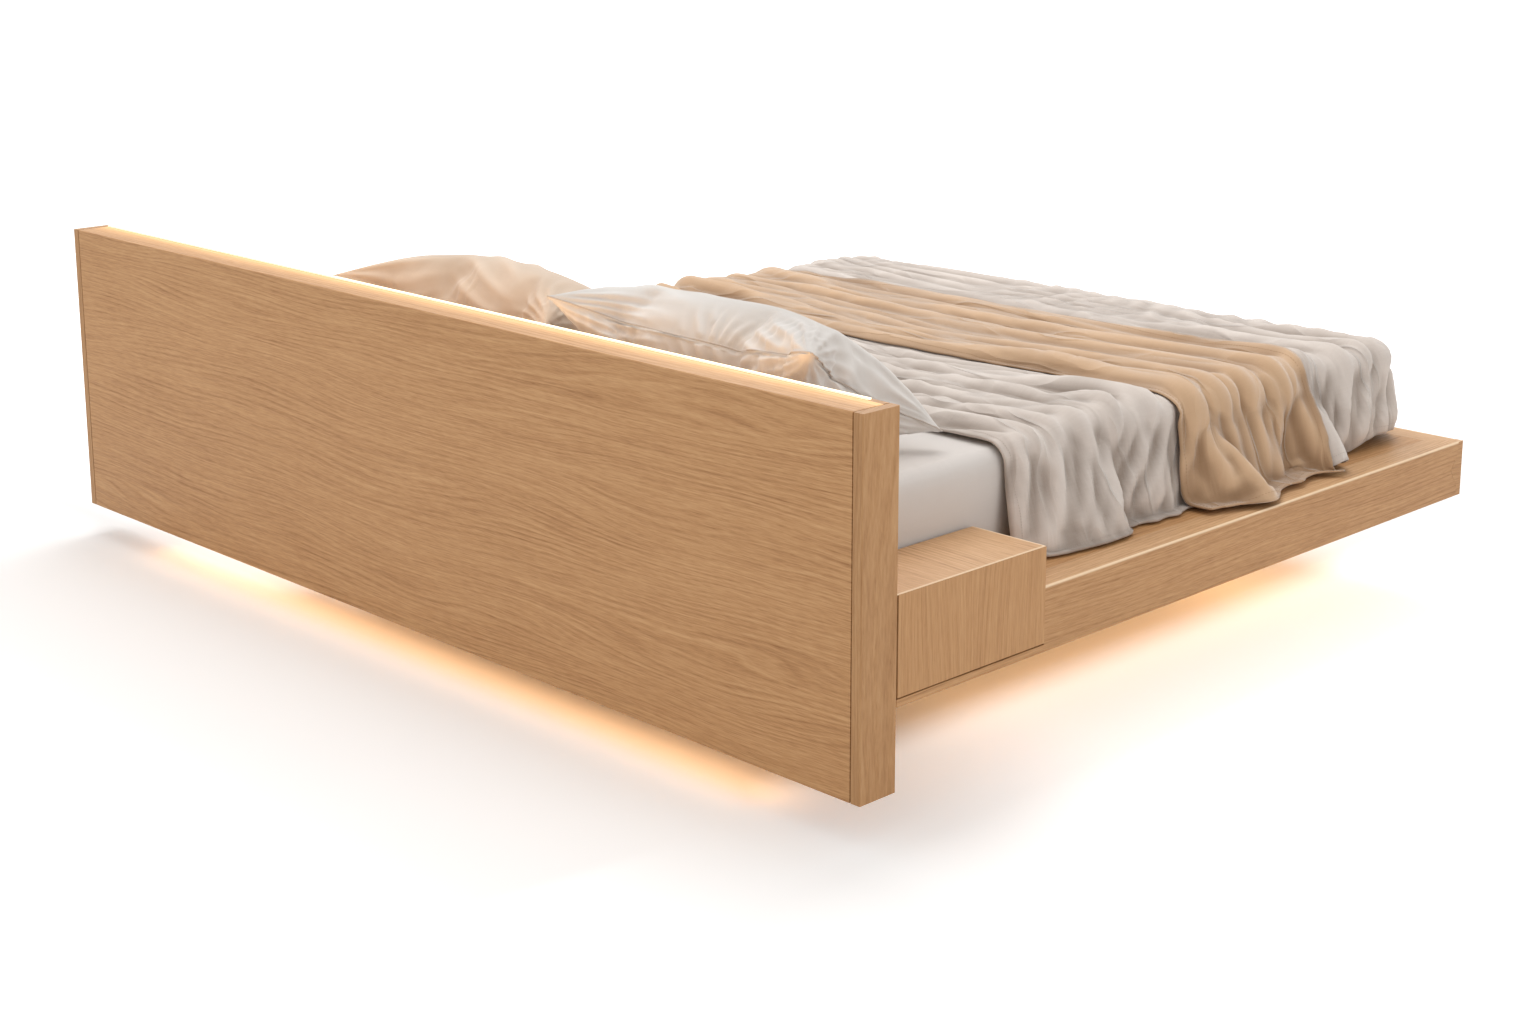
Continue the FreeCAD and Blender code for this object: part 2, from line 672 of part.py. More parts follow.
def levelling_foot(index, x, y):
    """A tapered pad with a stem that screws into its block."""
    name = "levelling_foot_%d" % index
    pad_piece = doc.addObject("Part::Cone", name + "_pad")
    pad_piece.setExpression("Radius1", bound("foot_radius"))
    pad_piece.setExpression("Radius2", bound("foot_radius - foot_pad_height / 2"))
    pad_piece.setExpression("Height", bound("foot_pad_height"))
    place(pad_piece, (x, y, "0"))
    stem = rod(name + "_stem", (x, y, "foot_pad_height"), "stem_radius",
               "foot_height + stem_grip_length - foot_pad_height")
    return fuse(name, [pad_piece, stem])


def make_plinth():
    """A box of boards on six levelling feet, out of sight under the bed."""
    sides = [
        flank_board("plinth_side_" + side, sign, (PLINTH_HALF + " - rail_thickness", PLINTH_HALF),
                    (PLINTH_START, PLINTH_RUN), ("foot_height", PLINTH_RISE))
        for side, sign in SIDES
    ]
    finish(group("plinth_sides", sides))
    across = (CENTRE + " - " + PLINTH_HALF + " + rail_thickness",
              "2 * (" + PLINTH_HALF + " - rail_thickness)")
    ends = [
        board("plinth_end_" + name, (across[0], start, "foot_height"),
              (across[1], "rail_thickness", PLINTH_RISE))
        for name, start in (("head", PLINTH_START),
                            ("foot", PLINTH_START + " + " + PLINTH_RUN + " - rail_thickness"))
    ]
    opening = board("inlet_opening",
                    (CENTRE + " + inlet_offset - inlet_body_width / 2",
                     PLINTH_START + " - rail_thickness", INLET_Z),
                    ("inlet_body_width", "3 * rail_thickness", "inlet_body_height"))
    finish(cut("plinth_ends", group("plinth_end_blanks", ends), opening))
    blocks = []
    stems = []
    feet = []
    for index, (low, along) in enumerate(foot_places()):
        blocks.append(board("plinth_block_%d" % index, (low, along, "foot_height"),
                            ("batten_width", "batten_width", "plinth_block_height")))
        x, y = low + " + batten_width / 2", along + " + batten_width / 2"
        stems.append(rod("stem_hole_%d" % index, (x, y, "0"), "stem_radius + clearance / 3",
                         "foot_height + stem_grip_length"))
        feet.append(levelling_foot(index, x, y))
    finish(cut("plinth_blocks", group("plinth_block_blanks", blocks), group("stem_holes", stems)))
    finish(group("levelling_feet", feet))
    finish(board("light_driver",
                 (CENTRE + " - driver_length / 2", PLINTH_START + " + rail_thickness",
                  "foot_height + driver_rise"),
                 ("driver_length", "driver_height", "driver_width")))
    finish(make_inlet())


def make_inlet():
    """A flanged socket in the plinth's head board, with three contact pins."""
    middle = CENTRE + " + inlet_offset"
    flange = board("inlet_flange_plate",
                   (middle + " - inlet_width / 2", PLINTH_START + " - inlet_flange_thickness",
                    INLET_Z + " + (inlet_body_height - inlet_flange_height) / 2"),
                   ("inlet_width", "inlet_flange_thickness", "inlet_flange_height"))
    body = board("inlet_body", (middle + " - inlet_body_width / 2", PLINTH_START, INLET_Z),
                 ("inlet_body_width", "inlet_depth", "inlet_body_height"))
    recess = board("inlet_recess",
                   (middle + " - inlet_body_width / 2 + inlet_wall_thickness",
                    PLINTH_START + " - 2 * inlet_flange_thickness", INLET_Z + " + inlet_wall_thickness"),
                   ("inlet_body_width - 2 * inlet_wall_thickness",
                    "2 * inlet_flange_thickness + inlet_depth - inlet_wall_thickness",
                    "inlet_body_height - 2 * inlet_wall_thickness"))
    shell = cut("inlet_shell", fuse("inlet_solid", [flange, body]), recess)
    pins = [
        board("inlet_pin_%d" % step,
              (middle + " + %d * pin_pitch - pin_width / 2" % (step - 1),
               PLINTH_START + " + inlet_depth - inlet_wall_thickness - pin_length",
               INLET_Z + " + (inlet_body_height - pin_height) / 2"),
              ("pin_width", "pin_length", "pin_height"))
        for step in range(3)
    ]
    return fuse("power_inlet", [shell] + pins)


# Bedside cabinets
WALL_BOTTOM = "(platform_gap + cabinet_base_thickness)"
WALL_RISE = "(cabinet_height - cabinet_base_thickness - panel_thickness)"
CASE_OUTER = "(" + HALF + " - front_thickness - push_gap)"
DRAWER_OUTER = "(" + HALF + " - front_thickness)"
DRAWER_BACK = "(" + DRAWER_OUTER + " - drawer_depth)"
DRAWER_BOTTOM = "(" + WALL_BOTTOM + " + drawer_lift)"
DRAWER_NEAR = "(" + HEAD + " + panel_thickness + runner_room)"
DRAWER_SPAN = "(cabinet_depth - 2 * (panel_thickness + runner_room))"
RUNNER_Z = "(" + DRAWER_BOTTOM + " + (drawer_height - runner_height) / 2)"
LATCH_Y = "(" + HEAD + " + cabinet_depth / 2)"
LATCH_Z = "(" + DRAWER_BOTTOM + " + drawer_height / 2)"
LATCH_BACK = "(" + CABINET_INNER + " + panel_thickness)"
LATCH_FACE = "(" + LATCH_BACK + " + latch_length)"


def make_cabinet(side, sign):
    """The fixed boards of one bedside cabinet."""
    name = "cabinet_%s_" % side
    depth = (HEAD, "cabinet_depth")
    finish(flank_board(name + "base", sign, (CABINET_INNER, HALF), depth,
                       ("platform_gap", "cabinet_base_thickness")))
    finish(flank_board(name + "inner_wall", sign,
                       (CABINET_INNER, CABINET_INNER + " + panel_thickness"), depth,
                       (WALL_BOTTOM, WALL_RISE)))
    across = (CABINET_INNER + " + panel_thickness", CASE_OUTER)
    finish(flank_board(name + "head_wall", sign, across, (HEAD, "panel_thickness"),
                       (WALL_BOTTOM, WALL_RISE)))
    finish(flank_board(name + "foot_wall", sign, across,
                       (CABINET_END + " - panel_thickness", "panel_thickness"),
                       (WALL_BOTTOM, WALL_RISE)))
    outer = CENTRE + " + %d * (" % sign + HALF + " - mitre_gap)"
    start, turn = (HEAD, 1) if sign > 0 else (CABINET_END, 3)
    finish(lying(name + "top", "cabinet_depth",
                 "(" + HALF + " - mitre_gap - " + CABINET_INNER + ")",
                 (outer, start, CABINET_TOP + " - panel_thickness"), turn))


def make_drawer(side, sign):
    """One drawer: its front, its box and the runners on its sides."""
    name = "drawer_%s_" % side
    outer = CENTRE + " + %d * " % sign + HALF
    start, turn = (HEAD + " + front_gap", 1) if sign > 0 else (CABINET_END, 3)
    finish(upright(name + "front", "(cabinet_depth - front_gap)", "front_thickness",
                   "(cabinet_height - cabinet_base_thickness - front_gap)",
                   "(panel_thickness + mitre_gap)", (outer, start, WALL_BOTTOM + " + front_gap"),
                   turn))
    across = (DRAWER_BACK, DRAWER_OUTER)
    rise = (DRAWER_BOTTOM + " + drawer_floor_thickness", "drawer_height - drawer_floor_thickness")
    walls = [
        flank_board(name + "wall_near", sign, across, (DRAWER_NEAR, "drawer_wall_thickness"), rise),
        flank_board(name + "wall_far", sign, across,
                    (DRAWER_NEAR + " + " + DRAWER_SPAN + " - drawer_wall_thickness",
                     "drawer_wall_thickness"), rise),
        flank_board(name + "wall_back", sign,
                    (DRAWER_BACK, DRAWER_BACK + " + drawer_wall_thickness"),
                    (DRAWER_NEAR + " + drawer_wall_thickness",
                     DRAWER_SPAN + " - 2 * drawer_wall_thickness"), rise),
    ]
    finish(group(name + "walls", walls))
    finish(flank_board(name + "bottom", sign, across, (DRAWER_NEAR, DRAWER_SPAN),
                       (DRAWER_BOTTOM, "drawer_floor_thickness")))
    low, length = flank(sign, DRAWER_OUTER + " - runner_length", DRAWER_OUTER)
    sliding = [
        bar(name + "runner_%s" % end, sliding_profile(facing), length, (low, wall, RUNNER_Z))
        for end, facing, wall in runner_walls()
    ]
    finish(group(name + "runners", sliding))


def runner_walls():
    """The two cabinet walls that carry runners: name, facing along Y, and the wall's face."""
    return (("near", 1, HEAD + " + panel_thickness"),
            ("far", -1, CABINET_END + " - panel_thickness"))


def fixed_profile(facing):
    """C section of a fixed runner, open towards the drawer."""
    return tuple(("%d * (" % facing + across + ")", up) for across, up in (
        ("0", "0"),
        ("runner_flange_width", "0"),
        ("runner_flange_width", "runner_sheet_thickness"),
        ("runner_sheet_thickness", "runner_sheet_thickness"),
        ("runner_sheet_thickness", "runner_height - runner_sheet_thickness"),
        ("runner_flange_width", "runner_height - runner_sheet_thickness"),
        ("runner_flange_width", "runner_height"),
        ("0", "runner_height"),
    ))


def sliding_profile(facing):
    """C section of a sliding runner, inside the fixed one and against the drawer."""
    low = "(runner_sheet_thickness + runner_play)"
    high = "(runner_height - runner_sheet_thickness - runner_play)"
    lip = "runner_room - runner_flange_width"
    web = "runner_room - runner_sheet_thickness"
    return tuple(("%d * (" % facing + across + ")", up) for across, up in (
        ("runner_room", low),
        ("runner_room", high),
        (lip, high),
        (lip, high + " - runner_sheet_thickness"),
        (web, high + " - runner_sheet_thickness"),
        (web, low + " + runner_sheet_thickness"),
        (lip, low + " + runner_sheet_thickness"),
        (lip, low),
    ))


def make_fixed_runners():
    """The four runners on the cabinet walls."""
    runners = []
    for side, sign in SIDES:
        low, length = flank(sign, CASE_OUTER + " - runner_length", CASE_OUTER)
        for end, facing, wall in runner_walls():
            runners.append(bar("fixed_runner_%s_%s" % (side, end), fixed_profile(facing), length,
                               (low, wall, RUNNER_Z)))
    finish(group("fixed_runners", runners))


def make_latches():
    """Push latches behind the drawers: a bored housing and a capped plunger each."""
    housings = []
    for side, sign in SIDES:
        housing = flank_board("latch_block_" + side, sign, (LATCH_BACK, LATCH_FACE),
                              (LATCH_Y + " - latch_side_width / 2", "latch_side_width"),
                              (LATCH_Z + " - latch_side_width / 2", "latch_side_width"))
        bore_end = LATCH_FACE + " - plunger_grip_length - plunger_cap_length"
        bore = flank_rod("latch_bore_" + side, sign, (bore_end, LATCH_FACE + " + clearance"),
                         LATCH_Y, LATCH_Z, "latch_bore_radius")
        housings.append(cut("latch_housing_" + side, housing, bore))
        tip = DRAWER_BACK + " - clearance"
        shank = flank_rod("plunger_shank_" + side, sign,
                          (LATCH_FACE + " - plunger_grip_length", tip + " - plunger_cap_length"),
                          LATCH_Y, LATCH_Z, "plunger_radius")
        cap = flank_rod("plunger_cap_" + side, sign, (tip + " - plunger_cap_length", tip),
                        LATCH_Y, LATCH_Z, "plunger_cap_radius")
        finish(fuse("latch_plunger_" + side, [shank, cap]))
    finish(group("latch_housings", housings))


# Bedding
def make_mattress():
    """A mattress with rounded corners and edges."""
    points = (("0", "0"), ("mattress_width", "0"), ("mattress_width", "mattress_length"),
              ("0", "mattress_length"))
    body = plate("mattress", points, "mattress_height",
                 (CENTRE + " - mattress_width / 2", HEAD + " + mattress_gap", DECK))
    doc.recompute()
    uprights = [
        "Edge%d" % number for number, edge in enumerate(body.Tip.Shape.Edges, start=1)
        if abs(edge.BoundBox.ZLength - edge.Length) < edge.Length / 2
    ]
    round_edges(body, "mattress_corners", uprights, "mattress_corner_radius")
    rims = [
        "Edge%d" % number for number, edge in enumerate(body.Tip.Shape.Edges, start=1)
        if edge.BoundBox.ZLength < size("clearance")
    ]
    round_edges(body, "mattress_rims", rims, "mattress_edge_radius")
    return body


def round_edges(body, name, edges, radius):
    """Round some edges of a body's latest feature."""
    rounded = body.Tip
    fillet = body.newObject("PartDesign::Fillet", name)
    fillet.Base = (rounded, edges)
    fillet.setExpression("Radius", bound(radius))
    body.Tip = fillet
    doc.recompute()


def feature(name, shape):
    """A piece whose form is worked out here from the sizes."""
    piece = doc.addObject("Part::Feature", name)
    piece.Label = name
    piece.Shape = shape
    return piece


pillow_station_shares = (-1.0, -0.9, -0.7, -0.4, 0.0, 0.4, 0.7, 0.9, 1.0)
pillow_waist_share = 0.07


def pillow_section(share):
    """Lens across a pillow at one station along it, from seam to seam."""
    station = share * size("pillow_length") / 2
    seam = size("pillow_seam") / 2
    full = 1 - share ** 2
    half = size("pillow_width") / 2 * (1 - pillow_waist_share * full)
    crown = seam + size("pillow_crown") * math.sqrt(full) + seam * (1 - full)
    belly = seam + size("pillow_belly") * math.sqrt(full) + seam * (1 - full)
    low_seam, high_seam = Vector(station, -half, -seam), Vector(station, half, -seam)
    low_top, high_top = Vector(station, -half, seam), Vector(station, half, seam)
    return Part.Wire([
        Part.Arc(low_top, Vector(station, 0, crown), high_top).toShape(),
        Part.LineSegment(high_top, high_seam).toShape(),
        Part.Arc(high_seam, Vector(station, 0, -belly), low_seam).toShape(),
        Part.LineSegment(low_seam, low_top).toShape(),
    ])


def make_pillow(side, sign):
    """A plump pillow that leans back on the headboard."""
    shape = Part.makeLoft([pillow_section(share) for share in pillow_station_shares], True, True)
    piece = feature("pillow_" + side, shape)
    lean = FreeCAD.Rotation(Vector(1, 0, 0), -size("pillow_lean"))
    piece.Placement = FreeCAD.Placement(Vector(0, 0, 0), lean)
    box = piece.Shape.BoundBox
    middle = number_of(CENTRE) - size("pillow_shift")
    middle += sign * (size("pillow_length") + size("pillow_space")) / 2
    along = number_of(HEAD) + size("pillow_lower_edge") - box.YMax
    up = number_of(DECK) + size("mattress_height") + size("clearance") - box.ZMin
    piece.Placement = FreeCAD.Placement(Vector(middle, along, up), lean)
    return piece


# Levels of the duvet from its hem up: height, flare and depth of the folds
duvet_level_shares = ((0.0, 1.0, 1.0), (0.5, 0.55, 0.7), (0.98, 0.22, 0.25))
duvet_top_inset_share = 1.3
side_fold_count = 9
foot_fold_count = 11


def folded_run(start, end, count, depth):
    """Arcs in a row from start to end, each bulging to the right of the way by depth."""
    step = (end - start) * (1 / count)
    outward = Vector(step.y, -step.x, 0).normalize() * depth
    return [
        Part.Arc(start + step * index, start + step * (index + 0.5) + outward,
                 start + step * (index + 1)).toShape()
        for index in range(count)
    ]


def rounded_turn(centre, radius, angle):
    """A quarter arc about a centre, starting at an angle in degrees."""
    points = [
        centre + Vector(math.cos(math.radians(angle + turn)), math.sin(math.radians(angle + turn)), 0)
        * radius
        for turn in (0, 45, 90)
    ]
    return Part.Arc(*points).toShape()


def drape_outline(height, flare_side, flare_foot, depth):
    """Plan of a cover at one height: down both sides and round the foot, with its folds."""
    radius = size("duvet_corner_radius")
    half = size("mattress_width") / 2 + flare_side
    middle = number_of(CENTRE)
    near = number_of(HEAD) + size("duvet_start")
    far = number_of(HEAD) + size("mattress_gap") + size("mattress_length") + flare_foot
    right, left = middle + half, middle - half
    turn_y = far - radius
    edges = folded_run(Vector(right, near, height), Vector(right, turn_y, height),
                       side_fold_count, depth)
    edges.append(rounded_turn(Vector(right - radius, turn_y, height), radius, 0))
    edges += folded_run(Vector(right - radius, far, height), Vector(left + radius, far, height),
                        foot_fold_count, depth)
    edges.append(rounded_turn(Vector(left + radius, turn_y, height), radius, 90))
    edges += folded_run(Vector(left, turn_y, height), Vector(left, near, height),
                        side_fold_count, depth)
    edges.append(Part.LineSegment(Vector(left, near, height), Vector(right, near, height)).toShape())
    return Part.Wire(edges)


def drape_solid(grow):
    """The space under a cover that lies grow outside the duvet's own faces."""
    base = number_of(DECK) + size("clearance")
    rise = size("mattress_height")
    wires = []
    for height_share, flare_share, fold_share in duvet_level_shares:
        wires.append(drape_outline(base + height_share * rise,
                                   flare_share * size("duvet_flare_side") + grow,
                                   flare_share * size("duvet_flare_foot") + grow
                                   + (1 - flare_share) * size("duvet_loft"),
                                   fold_share * size("duvet_fold")))
    loft = size("duvet_loft")
    wires.append(drape_outline(base + rise + loft + grow, grow - duvet_top_inset_share * loft,
                               grow - duvet_top_inset_share * loft, size("joint_gap")))
    return Part.makeLoft(wires, True, True)


def mattress_room():
    """The mattress with upright sides and a small clearance all round, reaching past the deck."""
    gap = size("clearance")
    width = size("mattress_width") + 2 * gap
    length = size("mattress_length") + 2 * gap
    room = Part.makeBox(width, length, 2 * size("mattress_height") + gap,
                        Vector(number_of(CENTRE) - width / 2,
                               number_of(HEAD) + size("mattress_gap") - gap,
                               number_of(DECK) - size("mattress_height")))
    uprights = [edge for edge in room.Edges if edge.BoundBox.ZLength > size("mattress_height")]
    return room.makeFillet(size("mattress_corner_radius") + gap, uprights)


def make_covers():
    """A duvet that hangs over three sides and a throw across it, both in soft folds."""
    duvet = drape_solid(0).cut(mattress_room())
    finish(feature("duvet", duvet))
    reach = size("headboard_width")
    band = Part.makeBox(2 * reach, size("throw_width"), reach,
                        Vector(-reach, number_of(HEAD) + size("throw_start"), 0))
    inner = drape_solid(2 * size("clearance"))
    throw = drape_solid(size("throw_loft")).cut(inner).common(band)
    finish(feature("throw", throw))


def check_and_write():
    """Stop on anything that failed, then write each node to its own file."""
    doc.recompute()
    for item in doc.Objects:
        if "Invalid" in item.State or "Error" in item.State:
            raise RuntimeError("%s failed: %s" % (item.Label, item.State))
    os.makedirs("parts", exist_ok=True)
    for piece in finished:
        if piece.Shape.isNull() or not piece.Shape.isValid():
            raise RuntimeError("%s has no valid shape" % piece.Label)
    for piece in finished:
        piece.Shape.exportStep("parts/%s.step" % piece.Label)
        print("%-28s solids %3d  volume %12.0f" % (piece.Label, len(piece.Shape.Solids),
                                                   piece.Shape.Volume))
    print("nodes", len(finished))


drilling = bolt_holes("bolt_holes")
make_headboard(drilling)
make_rails_and_borders()
make_deck()
make_frame(drilling)
make_under_lights()
make_plinth()
for side, sign in SIDES:
    make_cabinet(side, sign)
    make_drawer(side, sign)
make_fixed_runners()
make_latches()
finish(make_mattress())
for side, sign in SIDES:
    finish(make_pillow(side, sign))
make_covers()
check_and_write()
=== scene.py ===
"""Looks of the floating bed: oak veneer, lit edges, and bedding in linen and cotton."""
import math
from functools import partialmethod

import bmesh
import bpy
import numpy as np
from mathutils import Matrix, Vector
from mathutils.bvhtree import BVHTree


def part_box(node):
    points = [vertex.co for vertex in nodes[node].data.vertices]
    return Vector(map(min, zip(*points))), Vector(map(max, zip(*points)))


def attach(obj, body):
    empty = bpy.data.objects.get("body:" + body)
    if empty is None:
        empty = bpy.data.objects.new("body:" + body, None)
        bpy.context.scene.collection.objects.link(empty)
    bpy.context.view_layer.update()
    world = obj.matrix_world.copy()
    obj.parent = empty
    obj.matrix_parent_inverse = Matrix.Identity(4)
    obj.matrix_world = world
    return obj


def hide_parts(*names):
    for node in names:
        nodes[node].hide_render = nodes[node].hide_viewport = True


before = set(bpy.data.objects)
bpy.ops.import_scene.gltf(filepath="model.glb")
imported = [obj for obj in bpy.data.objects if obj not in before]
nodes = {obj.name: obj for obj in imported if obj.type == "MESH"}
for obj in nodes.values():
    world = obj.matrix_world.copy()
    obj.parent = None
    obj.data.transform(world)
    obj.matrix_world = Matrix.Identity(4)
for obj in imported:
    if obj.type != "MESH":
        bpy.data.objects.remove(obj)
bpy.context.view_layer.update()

SIDES = ("left", "right")
X, Y, Z = range(3)
BLACK = (0.0, 0.0, 0.0)
WHITE = (1.0, 1.0, 1.0)

# Places in the row frame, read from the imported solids, in metres
MATTRESS_LOW, MATTRESS_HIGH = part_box("mattress")
DECK_Z = MATTRESS_LOW.z
BED_TOP = MATTRESS_HIGH.z
HEAD_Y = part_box("headboard_front_panel")[1].y
MIDDLE_X = (MATTRESS_LOW.x + MATTRESS_HIGH.x) / 2
TOP_LIGHT_LOW, TOP_LIGHT_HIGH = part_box("top_light_diffuser")


# Nodes

def add_node(tree, kind, values=None, **settings):
    """A node of a type: its settings are set first, then its sockets' values or links."""
    node = tree.nodes.new(kind)
    for name, value in settings.items():
        if name == "stops":
            ramp = node.color_ramp
            while len(ramp.elements) < len(value):
                ramp.elements.new(1.0)
            for element, (position, colour) in zip(ramp.elements, value):
                element.position = position
                element.color = (*colour, 1.0)
        else:
            setattr(node, name, value)
    for name, value in (values or {}).items():
        fill(tree, node.inputs[name], value)
    return node


def fill(tree, slot, value):
    """Link a socket to another one, or give it a value of its own."""
    if isinstance(value, Level):
        value = value.socket
    if isinstance(value, bpy.types.NodeSocket):
        tree.links.new(value, slot)
    elif isinstance(value, tuple) and slot.type == "RGBA":
        slot.default_value = (*value, 1.0)
    else:
        slot.default_value = value


class Level:
    """One value in a material's node tree, used in sums and products like a number."""

    def __init__(self, tree, socket):
        self.tree = tree
        self.socket = socket

    def math(self, operation, *values, clamp=False):
        """A Math node on this value and others."""
        node = add_node(self.tree, "ShaderNodeMath", operation=operation, use_clamp=clamp)
        for slot, value in zip(node.inputs, (self, *values)):
            fill(self.tree, slot, value)
        return Level(self.tree, node.outputs[0])

    __add__ = __radd__ = partialmethod(math, "ADD")
    __sub__ = partialmethod(math, "SUBTRACT")
    __mul__ = __rmul__ = partialmethod(math, "MULTIPLY")
    __truediv__ = partialmethod(math, "DIVIDE")
    __pow__ = partialmethod(math, "POWER")
    __abs__ = partialmethod(math, "ABSOLUTE")
    fraction = partialmethod(math, "FRACT")
    larger = partialmethod(math, "MAXIMUM")

    def __rsub__(self, other):
        return self * -1.0 + other

    def wave(self):
        """A sine wave from 0 to 1."""
        return self.math("SINE") * 0.5 + 0.5

    def kept(self):
        """The value held between 0 and 1."""
        return self.math("ADD", 0.0, clamp=True)

    def rise(self, low, high):
        """0 below low, 1 above high and a smooth step between."""
        node = add_node(self.tree, "ShaderNodeMapRange",
                        {"Value": self, "From Min": low, "From Max": high},
                        interpolation_type="SMOOTHSTEP")
        return Level(self.tree, node.outputs["Result"])


class Finish:
    """A material and the nodes that make it."""

    def __init__(self, name):
        self.material = bpy.data.materials.new(name)
        self.material.use_nodes = True
        self.tree = self.material.node_tree
        self.tree.nodes.clear()
        self.shader = add_node(self.tree, "ShaderNodeBsdfPrincipled")
        add_node(self.tree, "ShaderNodeOutputMaterial", {"Surface": self.shader.outputs[0]})

    def read(self, kind, output, values=None, **settings):
        """One output of a new node."""
        return Level(self.tree, add_node(self.tree, kind, values, **settings).outputs[output])

    def split(self, vector):
        """The three parts of a vector."""
        parts = add_node(self.tree, "ShaderNodeSeparateXYZ", {0: vector})
        return [Level(self.tree, part) for part in parts.outputs]

    def place(self):
        """The point's X, Y and Z in the row frame."""
        return self.split(self.read("ShaderNodeTexCoord", "Object"))

    def noise(self, x, y, z, detail=2.0, roughness=0.5, scale=1.0, kind="FBM"):
        """Noise at a place, from 0 to 1 for the plain kind."""
        at = self.read("ShaderNodeCombineXYZ", 0, {0: x, 1: y, 2: z})
        return self.read("ShaderNodeTexNoise", "Fac", {
            "Vector": at, "Scale": scale, "Detail": detail, "Roughness": roughness},
            noise_type=kind)

    def ramp(self, level, *stops):
        """A colour that follows a level through stops."""
        return self.read("ShaderNodeValToRGB", "Color", {"Fac": level}, stops=stops)

    def mix(self, share, first, second):
        """Two colours mixed."""
        return self.read("ShaderNodeMix", 2, {0: share, 6: first, 7: second}, data_type="RGBA")

    def bump(self, height, distance, strength=0.5, **under):
        """A normal that follows a height over a real distance, on top of another normal."""
        return self.read("ShaderNodeBump", 0, {
            "Height": height, "Distance": distance, "Strength": strength, **under})

    def surface(self, **values):
        """Set the shader's sockets by name, spaces as underscores."""
        for name, value in values.items():
            fill(self.tree, self.shader.inputs[name.replace("_", " ")], value)
        return self.material


def tone(red, green, blue):
    """A colour seen on a screen, 0 to 255 each, as the shader's linear values."""
    return tuple(
        value / 255 / 12.92 if value <= 10 else ((value / 255 + 0.055) / 1.055) ** 2.4
        for value in (red, green, blue)
    )


def shaded(colour, share):
    """A colour made darker or lighter."""
    return tuple(value * share for value in colour)


# Oak: its ramp, its growth rings per metre, and its noises. Each noise has its stretch along the
# grain and across it, its shift, its detail and its roughness; those of the streaks are stretched
# across by rings, not metres.
OAK_STOPS = ((0.0, tone(214, 169, 121)), (0.45, tone(193, 145, 97)), (1.0, tone(150, 102, 60)))
OAK_RINGS = 76.0
OAK_BENDS = ((0.32, 1.5, 0.0, 1.0, 0.3), (1.15, 6.5, 4.0, 0.5, 0.4), (3.5, 20.0, 7.0, 1.0, 0.5))
OAK_STREAKS = ((2.2, 0.30, 9.0, 2.0, 0.6), (1.6, 0.7, 2.0, 2.0, 0.55), (4.4, 2.7, 3.0, 2.5, 0.60))
OAK_FIBRES = ((26.0, 420.0, 5.0, 2.0, 0.6), (36.0, 800.0, 6.0, 1.0, 0.5),
              (0.7, 1.6, 13.0, 2.0, 0.5))
# Painted sheen: a paler, cooler tint for tops, standing in for the reflection that lightens them
PAINTED_SHEEN_TINT = (1.0, 1.09, 1.24)
# Painted highlight: width and tone of the pale line painted along given arrises
EDGE_HIGHLIGHT_WIDTH = 0.006
EDGE_HIGHLIGHT_TONE = tone(240, 212, 176)
# Painted light: warm tone of the light spill painted on the top cap near the top strip
PAINTED_SPILL_TONE = (1.0, 0.60, 0.24)


def oak(name, along, across, shift, flame, lift=1.0, glow=None, edges=(), pale=False, figure=1.0):
    """Oiled oak veneer whose grain runs along one axis and spreads across another, with painted
    highlights, painted sheen and painted glow where given.
    """
    finish = Finish(name)
    place = finish.place()
    through = 3 - along - across
    run = place[along] + shift
    side = place[across] + place[through] * 0.37

    def noises(table, spread):
        return [finish.noise(run * stretch, spread * wide, shift + start, detail, roughness)
                for stretch, wide, start, detail, roughness in table]

    bend, arch, sway = noises(OAK_BENDS, side)
    ring = (side * OAK_RINGS + (bend - 0.5) * (13.0 * flame) + (arch - 0.5) * (10.5 * flame)
            + (sway - 0.5) * 1.2)
    saw = ring.fraction()
    late = saw.rise(0.35, 0.88) * (1.0 - saw.rise(0.90, 1.0))
    strength, broad, streak = noises(OAK_STREAKS, ring)
    fibre, pores, cloud = noises(OAK_FIBRES, side)
    pore = pores.rise(0.60, 0.72) * late
    dark = (late * (strength * 1.7 - 0.58) * 0.38 + (broad - 0.5) * 0.28 + (streak - 0.5) * 0.85
            + (fibre - 0.5) * 0.80 + (cloud - 0.5) * 0.16 + pore * 0.20)
    # Painted light and shade: lift makes tops lighter and sides darker, and pale tops also get a
    # paler, cooler tint as painted sheen
    tint = [lift * share for share in (PAINTED_SHEEN_TINT if pale else WHITE)]
    stops = [(position, tuple(value * share for value, share in zip(shade, tint)))
             for position, shade in OAK_STOPS]
    colour = finish.ramp((dark * figure + 0.42).kept(), *stops)
    # Painted highlight: a thin pale line along each given arris, where the edge would catch light
    for (axis, value), (other, level) in edges:
        near = (1.0 - abs(place[axis] - value) / EDGE_HIGHLIGHT_WIDTH).kept()
        high = (1.0 - abs(place[other] - level) / EDGE_HIGHLIGHT_WIDTH).kept()
        colour = finish.mix((near * high * 1.5).kept(), colour, EDGE_HIGHLIGHT_TONE)
    height = (1.0 - late * 0.25) - pore * 0.6 + (fibre - 0.5) * 0.3
    # Painted light: a warm emission on the wood that fades away from the top strip, standing in for
    # its light spill
    if glow is not None:
        axis, edge, reach = glow
        near = ((place[axis] - edge) / -reach).kept()
        painted_spill = (1.0 - near) ** 2.4 * 0.75
        finish.surface(Emission_Color=finish.mix(painted_spill.kept(), BLACK, PAINTED_SPILL_TONE),
                       Emission_Strength=1.0)
    return finish.surface(
        Base_Color=colour,
        Roughness=0.44 + late * 0.08 + (fibre - 0.5) * 0.1,
        Specular_IOR_Level=0.45 if pale else 0.32,
        Normal=finish.bump(height, 0.0003, 0.6),
    )


